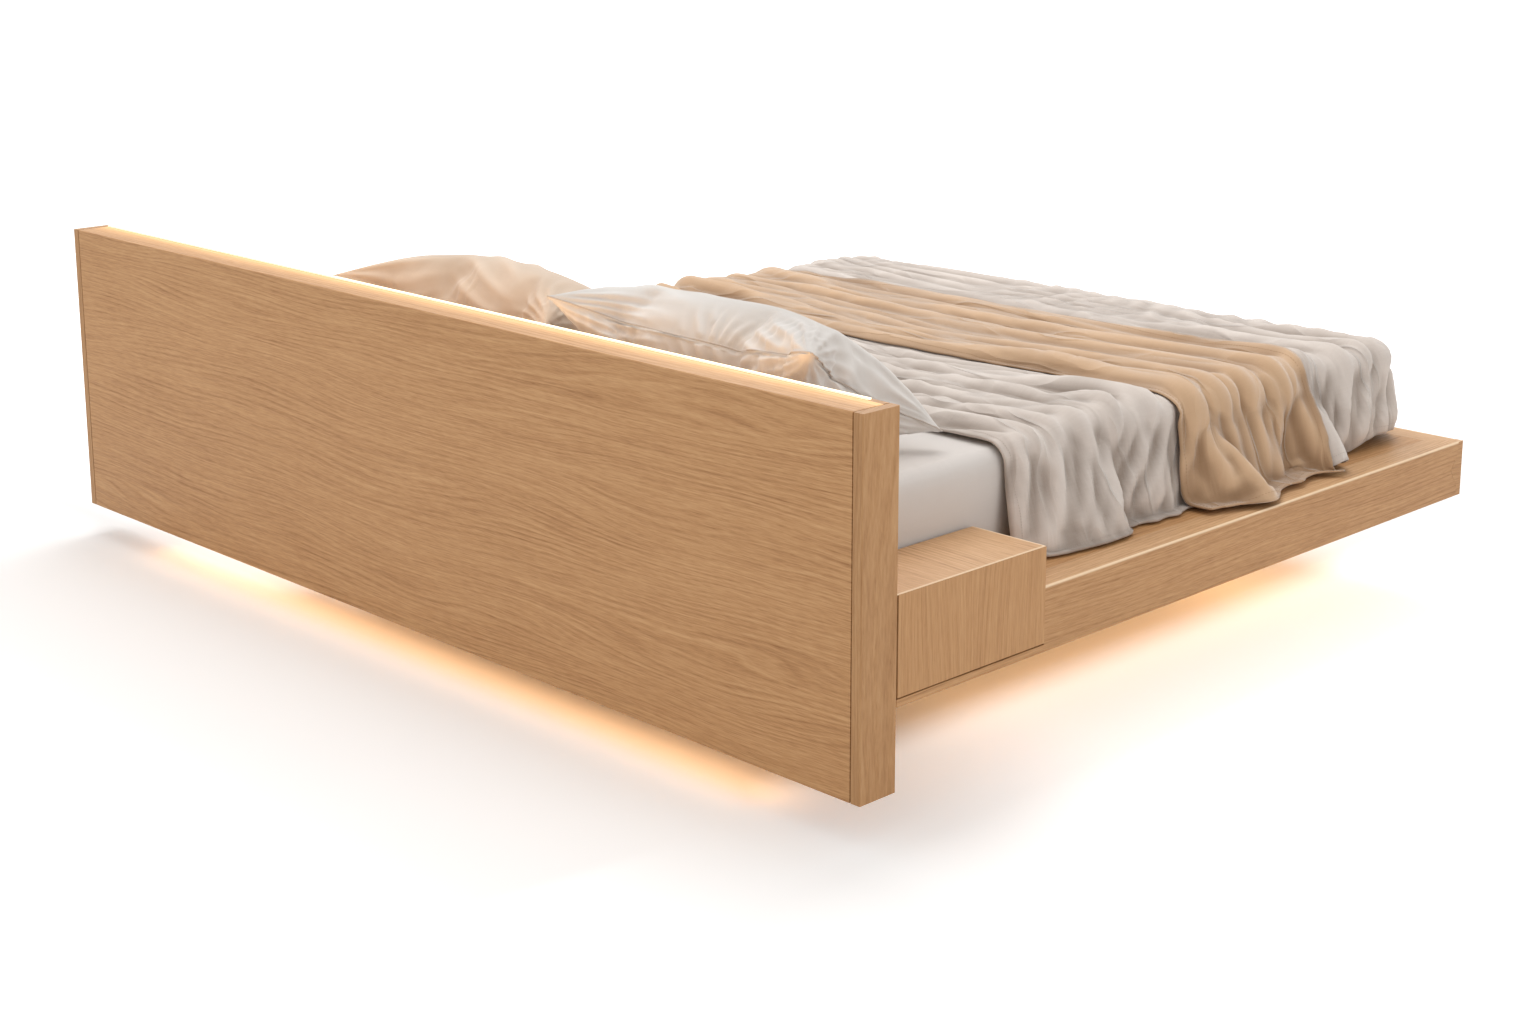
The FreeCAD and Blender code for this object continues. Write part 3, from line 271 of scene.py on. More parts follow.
def pine(name, along, across):
    """Plain softwood under the bed."""
    finish = Finish(name)
    place = finish.place()
    run, side, through = place[along], place[across], place[3 - along - across]
    wander = finish.noise(run * 1.2, side * 6.0, through * 6.0)
    rings = ((side + through) * 70.0 + wander * 14.0).fraction()
    fibre = finish.noise(run * 8.0, side * 260.0, 3.0, roughness=0.6)
    dark = rings.rise(0.3, 0.95) * 0.5 + (fibre - 0.5) * 0.4
    colour = finish.ramp((dark + 0.1).kept(), (0.0, tone(226, 196, 150)), (1.0, tone(187, 143, 92)))
    return finish.surface(Base_Color=colour, Roughness=0.62 + dark * 0.1,
                          Specular_IOR_Level=0.3, Normal=finish.bump(fibre, 0.0002))


def plywood(name):
    """Birch plywood of the drawer boxes, with its plies on the edges."""
    finish = Finish(name)
    x, y, z = finish.place()
    fibre = finish.noise(x * 14.0, y * 14.0, z * 160.0, 3.0, 0.6)
    patch = finish.noise(x * 5.0, y * 5.0, z * 16.0)
    colour = finish.ramp(fibre * 0.6 + patch * 0.4,
                         (0.25, tone(205, 172, 128)), (0.8, tone(228, 202, 165)))
    return finish.surface(Base_Color=colour, Roughness=0.5 + fibre * 0.1,
                          Specular_IOR_Level=0.3, Normal=finish.bump(fibre, 0.0002, 0.4))


def woven(name, light, dark, thread, slub, creases=(0.9, 0.55), sheen=0.35, roughness=0.85,
          folds=0.0):
    """Plain-woven cloth read from the piece's own UV map, which is in metres."""
    finish = Finish(name)
    u, v = finish.split(finish.read("ShaderNodeUVMap", 0, uv_map="cloth"))[:2]
    turn = 2 * math.pi / thread
    warp = (u * turn).wave()
    weft = (v * turn).wave()
    over = warp * weft + (1.0 - warp) * (1.0 - weft)
    slub_u = finish.noise(u * 420.0, v * 9.0, 1.0, roughness=0.6)
    slub_v = finish.noise(u * 9.0, v * 420.0, 5.0, roughness=0.6)
    patch = finish.noise(u * 3.2, v * 3.2, 7.0, 3.0, 0.55)
    drift = finish.noise(u * 2.1, v * 5.0, 9.0)
    line = finish.noise(u * 2.6, v * 11.0 + drift * 3.0, 17.0, 1.5)
    crumple = finish.noise(u * 5.0 + v * 2.0, v * 20.0 - u * 2.0, 27.0, kind="RIDGED_MULTIFRACTAL")
    ridge = (1.0 - (abs(line - 0.5) * 11.0).kept()) ** 1.6
    crease = ridge * creases[0] + crumple * creases[1] + patch * 0.4
    uneven = (slub_u + slub_v - 1.0) * slub
    # Painted shade and highlight: the crease lines darken the colour in their hollows and lighten
    # it on their ridges, over the weave, slubs and patches
    shade = (over * 0.16 + uneven * 0.8 + (patch - 0.5) * 0.4
             + (crease - creases[0] * 0.25 - creases[1] * 0.9) * 0.22 + 0.46)
    # Painted shade in fold hollows and painted highlight on fold ridges, from the piece's own
    # attribute
    if folds:
        relief = finish.read("ShaderNodeAttribute", "Fac", attribute_name="relief")
        shade = shade + relief * folds
    fine = finish.bump(over * 0.5 + uneven * 0.5, thread * 0.35, 0.6)
    return finish.surface(
        Base_Color=finish.mix(shade.kept(), dark, light),
        Roughness=roughness + uneven * 0.1,
        Specular_IOR_Level=0.18,
        Sheen_Weight=sheen,
        Sheen_Roughness=0.45,
        Normal=finish.bump(crease, 0.006, 0.8, Normal=fine),
    )


def grained(name, dark, light, stretch, detail, dull, vary, depth, patch=None, **surface):
    """Two tones in a fine grain stretched along X, Y and Z, or in wider patches where given."""
    finish = Finish(name)
    place = finish.place()
    grain = finish.noise(*(part * share for part, share in zip(place, stretch)), detail, 0.6)
    shade = finish.noise(*place, scale=patch) if patch else grain
    return finish.surface(Base_Color=finish.mix(shade, dark, light), Roughness=dull + grain * vary,
                          Normal=finish.bump(grain, depth), **surface)


def thread(name, colour):
    """Twisted sewing thread."""
    finish = Finish(name)
    x, y, z = finish.place()
    twist = ((x + y + z) * 2600.0).wave()
    patch = finish.noise(x, y, z, scale=40.0)
    return finish.surface(
        Base_Color=finish.mix(twist * 0.5 + patch * 0.5, shaded(colour, 0.72), colour),
        Roughness=0.7 + twist * 0.1, Specular_IOR_Level=0.25, Normal=finish.bump(twist, 0.0002))


LED_PITCH = 0.0083


def glowing(name, colour, strength, core=None):
    """An opal strip over the lights, a little brighter over each, and along its core if given."""
    finish = Finish(name)
    place = finish.place()
    level = ((place[X] + place[Y]) * (2 * math.pi / LED_PITCH)).math("SINE") * 0.01 + 0.99
    if core is not None:
        axis, middle, half = core
        inner = (1.0 - abs(place[axis] - middle) / half).kept() ** 1.5
        level = level * (inner * 0.7 + 0.3)
    return finish.surface(Base_Color=tone(246, 236, 214), Roughness=0.4,
                          Emission_Color=finish.mix(level, BLACK, colour),
                          Emission_Strength=strength)


def dress(material, *names):
    """Give CAD nodes a material; %s in a name stands for left and right."""
    for name in names:
        for node in {name.replace("%s", side) for side in SIDES}:
            mesh = nodes[node].data
            mesh.materials.clear()
            mesh.materials.append(material)


def dress_the_frame():
    """Materials of the pieces that CAD made."""
    left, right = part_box("side_rail_left")[0].x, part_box("side_rail_right")[1].x
    foot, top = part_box("foot_rail")[1].y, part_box("border_board_foot")[1].z
    # Arrises that get a painted highlight line: the platform's outer top edges and the cabinet
    # tops' outer edges
    upper = {"edges": tuple((at, (Z, top)) for at in ((X, right), (X, left), (Y, foot)))}
    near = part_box("cabinet_right_top")[1]
    far_low, far_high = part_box("cabinet_left_top")
    cabinet = {"pale": True, "edges": (
        ((X, near.x), (Z, near.z)), ((X, far_low.x), (Z, far_high.z)), ((Y, near.y), (Z, near.z)))}
    # Veneers: name, axes along and across the grain, shift, flame, lift (tops lighter and sides
    # darker: painted light and shade), what differs, pieces
    # What differs gives painted highlight lines on arrises, painted glow on the top cap and painted
    # sheen on pale tops
    for name, along, across, shift, flame, lift, extras, *pieces in (
            ("rear_panel", X, Z, 3.3, 1.0, 1.0, {}, "headboard_rear_panel"),
            ("front_panel", X, Z, 9.1, 1.0, 1.0, {}, "headboard_front_panel"),
            ("top_cap", X, Y, 5.7, 0.4, 1.06, {"glow": (Y, TOP_LIGHT_LOW.y, 0.085)},
             "headboard_top_cap"),
            ("bottom_cap", X, Y, 6.3, 0.4, 1.0, {}, "headboard_bottom_cap"),
            ("posts", Z, X, 1.4, 0.7, 0.88, {"figure": 0.8}, "headboard_post_%s"),
            ("foot_rail", X, Z, 7.7, 0.6, 0.94, upper, "foot_rail"),
            ("side_rails", Y, Z, 2.2, 0.6, 0.92, upper, "side_rail_%s"),
            ("keys", Y, Z, 6.1, 0.3, 0.9, {}, "corner_keys"),
            ("cabinet_bases", Y, Z, 8.4, 0.3, 0.95, {}, "cabinet_%s_base"),
            ("side_borders", Y, X, 4.4, 0.4, 1.08, {**upper, "pale": True}, "border_board_%s"),
            ("foot_border", X, Y, 4.9, 0.4, 1.08, {**upper, "pale": True}, "border_board_foot"),
            ("side_decks", Y, X, 12.4, 0.6, 1.02, {}, "deck_panel_%s"),
            ("foot_deck", X, Y, 12.9, 0.6, 1.02, {}, "deck_panel_foot"),
            ("cabinet_tops", X, Y, 0.6, 0.55, 1.08, cabinet, "cabinet_%s_top"),
            ("drawer_fronts", Z, Y, 11.3, 0.7, 0.95, {"figure": 0.7}, "drawer_%s_front"),
            ("cabinet_walls", Z, Y, 10.2, 0.4, 1.0, {}, "cabinet_%s_inner_wall",
             "cabinet_%s_head_wall", "cabinet_%s_foot_wall")):
        dress(oak("oak_" + name, along, across, shift, flame, lift, **extras), *pieces)
    dress(pine("pine_across", X, Y), "slats", "cross_beams", "head_rail")
    dress(pine("pine_along", Y, X), "battens")
    dress(pine("pine_upright", Z, X), "headboard_ribs", "corner_blocks", "plinth_blocks")
    dress(plywood("birch_plywood"), "drawer_%s_walls", "drawer_%s_bottom")
    dress(grained("plinth_stain", tone(22, 20, 19), tone(44, 40, 37), (6.0, 6.0, 240.0), 3.0, 0.62,
                  0.12, 0.0002, Specular_IOR_Level=0.25), "plinth_sides", "plinth_ends")
    # Rolled metals: name, colour, roughness, grain, pieces
    for name, colour, dull, fine, *pieces in (
            ("zinc_steel", (0.62, 0.62, 0.60), 0.3, 900.0, "headboard_bolts", "fixed_runners",
             "drawer_%s_runners"),
            ("drawn_aluminium", (0.78, 0.78, 0.79), 0.32, 700.0, "top_light_channel",
             "under_light_channels")):
        dress(grained(name, shaded(colour, 0.82), colour, (20.0, 20.0, fine), 2.0, dull, 0.12,
                      0.00008, Metallic=1.0), *pieces)
    core = (Y, (TOP_LIGHT_LOW.y + TOP_LIGHT_HIGH.y) / 2, (TOP_LIGHT_HIGH.y - TOP_LIGHT_LOW.y) / 2)
    dress(glowing("opal_top_light", (1.0, 0.78, 0.46), 2.7, core), "top_light_diffuser")
    dress(glowing("opal_under_light", (1.0, 0.54, 0.20), 6.0), "under_light_diffusers")
    # Moulded plastics: name, grey, roughness, pieces
    for name, grey, dull, *pieces in (
            ("black_nylon", (0.03, 0.03, 0.03), 0.55, "levelling_feet", "light_driver",
             "power_inlet", "latch_housings"),
            ("grey_nylon", (0.42, 0.42, 0.42), 0.5, "latch_plunger_%s")):
        dress(grained(name, shaded(grey, 0.85), grey, (900.0, 900.0, 900.0), 2.0, dull, 0.1,
                      0.0001, patch=14.0), *pieces)


# Meshes

def add_object(name, data):
    """A new object in the scene."""
    added = bpy.data.objects.new(name, data)
    bpy.context.scene.collection.objects.link(added)
    return added


def add_piece(name, points, faces, edges=()):
    """An object with a new mesh."""
    mesh = bpy.data.meshes.new(name)
    mesh.from_pydata(points, edges, faces)
    return add_object(name, mesh)


def keep_shape(piece):
    """Turn a piece's modifiers into its own mesh."""
    shape = bpy.data.meshes.new_from_object(
        piece.evaluated_get(bpy.context.evaluated_depsgraph_get()))
    piece.modifiers.clear()
    plain = piece.data
    piece.data = shape
    bpy.data.meshes.remove(plain)


def smooth(piece):
    """Smooth shading on every face."""
    for polygon in piece.data.polygons:
        polygon.use_smooth = True


def relax(piece, turns):
    """A modifier that evens out a mesh."""
    relaxed = piece.modifiers.new("relax", "SMOOTH")
    relaxed.factor = 0.5
    relaxed.iterations = turns


def read_all(items, name, width=1, kind=float):
    """One property of all items of a mesh, as an array."""
    values = np.empty(len(items) * width, dtype=kind)
    items.foreach_get(name, values)
    return values.reshape(-1, width) if width > 1 else values


def point_array(piece):
    """Where a piece's points are."""
    return read_all(piece.data.vertices, "co", 3)


def normal_array(piece):
    """Which way a piece's surface looks at its points."""
    return read_all(piece.data.vertices, "normal", 3)


def set_points(piece, points):
    """Put a piece's points in new places."""
    piece.data.vertices.foreach_set("co", np.ascontiguousarray(points).ravel())
    piece.data.update()


def map_cloth(mesh, measures):
    """A UV map in metres, from the flat measures of each face's corners."""
    flat = mesh.uv_layers.new(name="cloth")
    flat.data.foreach_set("uv", measures.ravel())


def ripple(across, along, seed):
    """Smooth noise from -1 to 1 over two coordinates."""
    table = np.random.default_rng(seed).uniform(-1, 1, (64, 64))
    column = np.floor(across).astype(int)
    row = np.floor(along).astype(int)
    share_x = across - column
    share_y = along - row
    share_x = share_x * share_x * (3 - 2 * share_x)
    share_y = share_y * share_y * (3 - 2 * share_y)

    def level(row):
        return (table[column % 64, row % 64] * (1 - share_x)
                + table[(column + 1) % 64, row % 64] * share_x)

    return level(row) * (1 - share_y) + level(row + 1) * share_y


def crest(phase, sharpness):
    """Folds from 0 to 1: rounded crests with wider hollows between them."""
    return (0.5 + 0.5 * np.cos(2 * math.pi * phase)) ** sharpness


def step(value, low, high):
    """0 below low, 1 above high and a smooth step between."""
    share = np.clip((value - low) / (high - low), 0, 1)
    return share * share * (3 - 2 * share)


def fold_sets(across, along, *sets):
    """A sum of sets of folds. Each has its height, its line, spacing, shift and sharpness, then
    the patches that it comes in: stretch across, shift, stretch along, seed, and low and high."""
    total = 0.0
    for height, line, pitch, phase, sharpness, wide, shift, long, seed, low, high in sets:
        patch = step(ripple(across * wide + shift, along * long, seed), low, high)
        total = total + height * patch * crest(line / pitch + phase, sharpness)
    return total


def cloth_grid(width, length, spacing):
    """Flat measures of a sheet: across from its middle line, along from its near edge."""
    columns = int(round(width / spacing)) + 1
    rows = int(round(length / spacing)) + 1
    return np.meshgrid(np.linspace(-width / 2, width / 2, columns), np.linspace(0, length, rows))


def grid_numbers(size):
    """The numbers of a grid's points."""
    return np.arange(size[0] * size[1]).reshape(size)


def grid_faces(index):
    """The faces between a grid's points, by their numbers."""
    return np.stack([index[:-1, :-1], index[:-1, 1:], index[1:, 1:], index[1:, :-1]],
                    axis=-1).reshape(-1, 4)


def soften(grid, passes):
    """A grid of values, each averaged with its neighbours."""
    for _ in range(passes):
        wide = np.pad(grid, ((1, 1), (1, 1), (0, 0)), mode="edge")
        grid = (wide[:-2, 1:-1] + wide[2:, 1:-1] + wide[1:-1, :-2] + wide[1:-1, 2:] + 4 * grid) / 8
    return grid


# Bedding: forms that cloth rests on, and how cloth settles

# The mattress's round corners and top edge, and the faces in each
MATTRESS_CORNER = 0.070
MATTRESS_EDGE = 0.038
CORNER_STEPS = 12
EDGE_STEPS = 8
# Its fitted sheet: face size, how far the sides swell in the middle and draw in at the edges, and
# how far the sheet stays inside the solid's top and bottom
SHEET_FACE = 0.016
SIDE_SWELL = 0.004
SIDE_DRAW = 0.0035
SHEET_INSET = 0.0005
# Distances that cloth keeps from the mattress and the deck, and how deep it can be caught
SHEET_CLEARANCE = 0.003
DECK_CLEARANCE = 0.0015
CATCH_DEPTH = 0.02
CLOTH_FRICTION = 60.0
CLOTH = {"quality": 5, "mass": 0.2, "tension_stiffness": 12.0, "compression_stiffness": 12.0,
         "shear_stiffness": 4.0, "tension_damping": 5.0, "compression_damping": 5.0,
         "shear_damping": 5.0, "air_damping": 1.0}


def mattress_shape():
    """Points and faces of the mattress: round corners, and a round top edge."""
    low, high, edge, radius = MATTRESS_LOW, MATTRESS_HIGH, MATTRESS_EDGE, MATTRESS_CORNER
    profile = [(edge * 0.35, low.z), (edge * 0.08, low.z + edge * 0.3), (0.0, low.z + edge)]
    for part in range(EDGE_STEPS + 1):
        angle = part / EDGE_STEPS * math.pi / 2
        profile.append((edge * (1 - math.cos(angle)), high.z - edge * (1 - math.sin(angle))))
    right, left, foot, head = high.x - radius, low.x + radius, high.y - radius, low.y + radius
    corners = ((right, foot), (left, foot), (left, head), (right, head))
    points = []
    for inset, height in profile:
        for turn, (x, y) in enumerate(corners):
            for part in range(CORNER_STEPS + 1):
                angle = (turn + part / CORNER_STEPS) * math.pi / 2
                points.append((x + (radius - inset) * math.cos(angle),
                               y + (radius - inset) * math.sin(angle), height))
    index = grid_numbers((len(profile), 4 * (CORNER_STEPS + 1)))
    round_index = np.hstack([index, index[:, :1]])
    ends = [index[-1].tolist(), index[0, ::-1].tolist()]
    return points, grid_faces(round_index).tolist() + ends


def make_mattress(material):
    """The mattress in its fitted sheet: soft edges, and sides that swell a little."""
    piece = add_piece("mattress_in_sheet", *mattress_shape())
    shaped = bmesh.new()
    shaped.from_mesh(piece.data)
    bmesh.ops.remove_doubles(shaped, verts=shaped.verts, dist=0.0002)
    bmesh.ops.recalc_face_normals(shaped, faces=shaped.faces)
    shaped.to_mesh(piece.data)
    shaped.free()
    remeshed = piece.modifiers.new("remesh", "REMESH")
    remeshed.mode = "VOXEL"
    remeshed.voxel_size = SHEET_FACE
    relax(piece, 3)
    keep_shape(piece)
    points = point_array(piece)
    middle = (MATTRESS_LOW + MATTRESS_HIGH) / 2
    half = (MATTRESS_HIGH - MATTRESS_LOW) / 2
    height = np.clip((points[:, Z] - middle.z) / half.z, -1, 1)
    swell = (1 - height ** 2) * SIDE_SWELL - SIDE_DRAW
    for axis in (X, Y):
        outer = np.abs(points[:, axis] - middle[axis]) / half[axis]
        side = np.sign(points[:, axis] - middle[axis])
        points[:, axis] += side * swell * step(outer, 0.93, 0.99)
    points[:, Z] = np.clip(points[:, Z], MATTRESS_LOW.z + SHEET_INSET,
                           MATTRESS_HIGH.z - SHEET_INSET)
    set_points(piece, points)
    smooth(piece)
    map_from_sides(piece)
    piece.data.materials.append(material)
    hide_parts("mattress")
    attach(piece, "bed")


def map_from_sides(piece):
    """A cloth map seen from the side that each face looks to."""
    mesh = piece.data
    at = point_array(piece)[read_all(mesh.loops, "vertex_index", kind=np.int32)]
    normals = np.abs(read_all(mesh.polygons, "normal", 3))
    facing = np.repeat(np.argmax(normals, axis=1),
                       read_all(mesh.polygons, "loop_total", kind=np.int32))
    across = np.where(facing == X, at[:, Y], at[:, X])
    along = np.where(facing == Z, at[:, Y], at[:, Z])
    map_cloth(mesh, np.stack([across, along], axis=-1))


def make_solid(form, thickness):
    """Let cloth fall on a form."""
    form.modifiers.new("collision", "COLLISION")
    form.collision.thickness_outer = thickness
    form.collision.thickness_inner = CATCH_DEPTH
    form.collision.cloth_friction = CLOTH_FRICTION


def settle(piece, frames, growth, gravity, bending, held=None, pressure=0.0, distance=0.003):
    """Let cloth fall or fill into shape against the solid forms, then keep that shape."""
    scene = bpy.context.scene
    cloth = piece.modifiers.new("cloth", "CLOTH")
    settings = cloth.settings
    for name, value in CLOTH.items():
        setattr(settings, name, value)
    settings.bending_stiffness = bending
    settings.shrink_min = -growth
    settings.effector_weights.gravity = gravity
    if pressure:
        settings.use_pressure = True
        settings.uniform_pressure_force = pressure
    if held is not None:
        group = piece.vertex_groups.new(name="held")
        group.add([int(number) for number in held], 1.0, "REPLACE")
        settings.vertex_group_mass = "held"
    cloth.collision_settings.distance_min = distance
    cloth.collision_settings.friction = CLOTH_FRICTION
    cloth.collision_settings.use_self_collision = False
    scene.frame_start = cloth.point_cache.frame_start = 1
    scene.frame_end = cloth.point_cache.frame_end = frames
    for frame_number in range(1, frames + 1):
        scene.frame_set(frame_number)
    keep_shape(piece)
    piece.vertex_groups.clear()
    scene.frame_set(1)


def keep_outside(points, form, distance):
    """Move points that are nearer to a form than a distance, or in it, out of its surface."""
    tree = BVHTree.FromObject(form, bpy.context.evaluated_depsgraph_get())
    moved = points.copy()
    for number, point in enumerate(points):
        at = Vector(point)
        near, normal = tree.find_nearest(at)[:2]
        depth = (at - near).dot(normal)
        if depth < distance:
            moved[number] = at + normal * (distance - depth)
    return moved


def hold_above(points):
    """Keep cloth from sinking into the deck."""
    points[:, Z] = np.maximum(points[:, Z], DECK_Z + DECK_CLEARANCE)
    return points


def thicken(piece, thickness):
    """Give a sheet its thickness, outwards from the side that it rests on."""
    solid = piece.modifiers.new("thickness", "SOLIDIFY")
    solid.thickness = thickness
    solid.offset = 1.0
    solid.use_even_offset = False
    keep_shape(piece)
    smooth(piece)


# Bedding: the duvet cover and the throw

# A cover's thickness, clearance, distance from the headboard, width and length as it lies, face
# size, how much it grows as it settles, and its share of gravity then
COVER_THICKNESS = 0.005
COVER_CLEARANCE = 0.006
COVER_CONTACT = COVER_THICKNESS + 0.002
DUVET_START, DUVET_WIDTH, DUVET_LENGTH = 0.566, 2.332, 1.772
DUVET_FACE, DUVET_GROWTH, DUVET_WEIGHT = 0.0105, 0.022, 0.06
THROW_THICKNESS = 0.0035
THROW_CLEARANCE = COVER_THICKNESS + 0.003
THROW_START, THROW_WIDTH, THROW_LENGTH = 1.150, 2.42, 0.56
THROW_FACE, THROW_GROWTH, THROW_WEIGHT = 0.0095, 0.012, 0.15
SETTLE_FRAMES = 9
COVER_BENDING = 2.0
COVER_EDGE = 0.046
DUVET_FOOT_SLANT, THROW_FOOT_SLANT = math.radians(11), math.radians(3)
# The height that counts as a full ridge for the painted fold shade (painted shade in hollows,
# painted highlight on ridges), and passes over a cover's grid that even out its normals and give
# the level that its ridges stand above
RIDGE_HEIGHT = 0.006
NORMAL_PASSES = 6
PAINTED_FOLD_SHADE_PASSES = 30
# Threads between a cover's edge and its stitches, and how far they stand on the cloth
HEM_INSET = 2
STITCH_LIFT = 0.0003

# How far the covers slant out as they fall, down the right side: places along the bed, degrees
DUVET_SLANT_PLACES = (-0.49, -0.46, -0.41, -0.34, -0.26, -0.19, -0.155, -0.135, -0.07, 0.02, 0.09,
                      0.30, 0.55, 0.60, 0.630, 0.66, 0.685, 0.71, 0.76)
DUVET_SLANTS = (8, 14, 22, 26, 30, 29, 27, 13, 16, 20, 16, 15, 16, 24, 38, 41, 36, 20, 14)
THROW_SLANT_PLACES = (0.08, 0.11, 0.15, 0.20, 0.26, 0.33, 0.40, 0.46, 0.50, 0.55, 0.60, 0.68)
THROW_SLANTS = (6, 16, 27, 33, 35, 33, 25, 15, 12, 20, 30, 26)


def duvet_slant(y, side):
    """How far the duvet cover's fall slants out at places along the bed."""
    right = np.interp(y, DUVET_SLANT_PLACES, DUVET_SLANTS)
    left = np.minimum(np.interp(y + 0.08, DUVET_SLANT_PLACES, DUVET_SLANTS) * 0.8, 17)
    return np.radians(np.where(side > 0, right, left))


def throw_slant(y, side):
    """How far the throw's fall slants out at places along the bed."""
    right = np.interp(y, THROW_SLANT_PLACES, THROW_SLANTS)
    left = np.interp(0.68 - y, THROW_SLANT_PLACES, THROW_SLANTS)
    return np.radians(np.where(side > 0, right, left))


def duvet_top_folds(across, y):
    """Heights of the long ridges on top of the bed."""
    line = (y + 0.055 * ripple(across * 1.3 + 3, y * 1.6, 11)
            + 0.018 * ripple(across * 4.1, y * 5.0, 12))
    return 0.003 * (1 + ripple(across * 2.2, y * 2.2, 15)) + fold_sets(
        across, y,
        (0.022, line, 0.137, 0.0, 2.4, 1.1, 7, 3.2, 13, -0.6, 0.5),
        (0.012, line, 0.076, 0.3, 2.0, 2.3, 1, 6.2, 14, -0.4, 0.6))


def duvet_hang_folds(hem, side, reach):
    """Heights of the folds that fall down the sides, tighter round the foot corners."""
    line = hem + 0.03 * ripple(hem * 3.1 + side * 5, reach * 3, 21) + 0.16 * reach
    deep = step(reach, 0.10, 0.34)
    tight = step(hem, -0.24, -0.08)
    strength = step(ripple(hem * 5.0 + side * 3, reach * 2.0, 22), -0.7, 0.4)
    loose = (0.021 * strength * crest(line / 0.088 + 0.15, 1.8) * (0.5 + 0.5 * deep)
             + 0.007 * crest(line / 0.047 + side * 0.3, 1.6) * (1 - 0.6 * deep))
    pulled = 0.004 + 0.011 * strength * crest(hem / 0.066 + 0.5 * reach, 1.6) * (1 - 0.5 * deep)
    return loose * (1 - tight) + pulled * tight


def throw_top_folds(across, y):
    """The throw's own folds, over a share of those of the duvet below it."""
    along = y - (HEAD_Y + THROW_START)
    line = along + 0.03 * ripple(across * 1.7 + 2, along * 2.0, 41) + 0.02 * across
    rolled = 0.009 * step(along, 0.075, 0.02)
    return duvet_top_folds(across, y) * 0.4 + 0.001 + rolled + fold_sets(
        across, along,
        (0.020, line, 0.148, 0.1, 2.0, 1.3, 4, 5.0, 42, -0.7, 0.4),
        (0.009, line, 0.067, 0.3, 1.8, 2, 0, 7, 43, -0.3, 0.6))


def throw_hang_folds(hem, side, reach):
    """The throw's own deep folds down the sides, over a share of the duvet cover's."""
    line = hem + 0.04 * ripple(hem * 3.0 + side * 3, reach * 2.5, 51) - 0.12 * reach
    deep = step(reach, 0.10, 0.38)
    return (duvet_hang_folds(hem, side, reach) * 0.2
            + ((0.012 + 0.040 * deep) * crest(line / 0.215 + 0.55, 1.3)
               + 0.005 * crest(line / 0.062 + side * 0.2, 1.5) * (1 - 0.7 * deep)))


def duvet_creases(across, along):
    """Sharper folds of the settled duvet cover, along its long ridges and down its foot."""
    below = np.maximum(np.abs(across) - 0.86, 0)
    line = (along + 0.20 * below + 0.085 * ripple(across * 1.3 + 9, along * 2.1, 31)
            + 0.020 * ripple(across * 4.3, along * 5.1, 32))
    slanted = line + 0.20 * across + 0.030 * ripple(across * 2.9 + 4, along * 3.7, 33)
    crossed = line - 0.27 * across + 0.025 * ripple(across * 3.3, along * 4.1 + 6, 34)
    over = fold_sets(across, along,
                     (0.015, line, 0.102, 0.0, 2.2, 1.4, 2, 2.8, 35, -0.6, 0.45),
                     (0.010, slanted, 0.061, 0.0, 2.0, 2.3, 0, 4.4, 36, -0.4, 0.5),
                     (0.006, crossed, 0.052, 0.0, 1.8, 2.7, 5, 4.9, 37, -0.2, 0.6))
    beside = across + 0.06 * ripple(across * 3.1, along * 4.0, 38) + 0.10 * along
    down = fold_sets(across, along,
                     (0.006, beside, 0.118, 0.0, 2.2, 2.1, 0, 2, 40, -0.6, 0.4),
                     (0.004, beside, 0.067, 0.3, 1.8, 4, 0, 3, 39, -0.3, 0.5))
    footward = step(along, 1.40, 1.50) * step(below, 0.12, 0.0)
    covered = step(along, 0.50, 0.57) * step(-along, -1.23, -1.15)
    return ((over * (1 - footward) + down * footward) * (1 - 0.65 * covered)
            * (0.3 + 0.7 * step(along, 0.0, 0.07)))


def throw_creases(across, along):
    """Sharper folds of the settled throw, along its length."""
    below = np.maximum(np.abs(across) - 0.88, 0)
    line = (along - 0.10 * below + 0.045 * ripple(across * 1.4 + 3, along * 2.6, 61)
            + 0.010 * ripple(across * 5.0, along * 7.0, 62) + 0.03 * across)
    crossed = line + 0.16 * across + 0.02 * ripple(across * 3.1, along * 4.0, 63)
    edge = step(np.minimum(along, along.max() - along), 0.0, 0.045)
    return edge * fold_sets(across, along,
                            (0.016, line, 0.101, 0.0, 2.2, 1.5, 1, 4.0, 64, -0.7, 0.4),
                            (0.007, line, 0.050, 0.0, 1.8, 2.2, 0, 6.0, 65, -0.5, 0.5),
                            (0.006, crossed, 0.064, 0.0, 1.8, 2.8, 4, 5.5, 66, -0.2, 0.6))


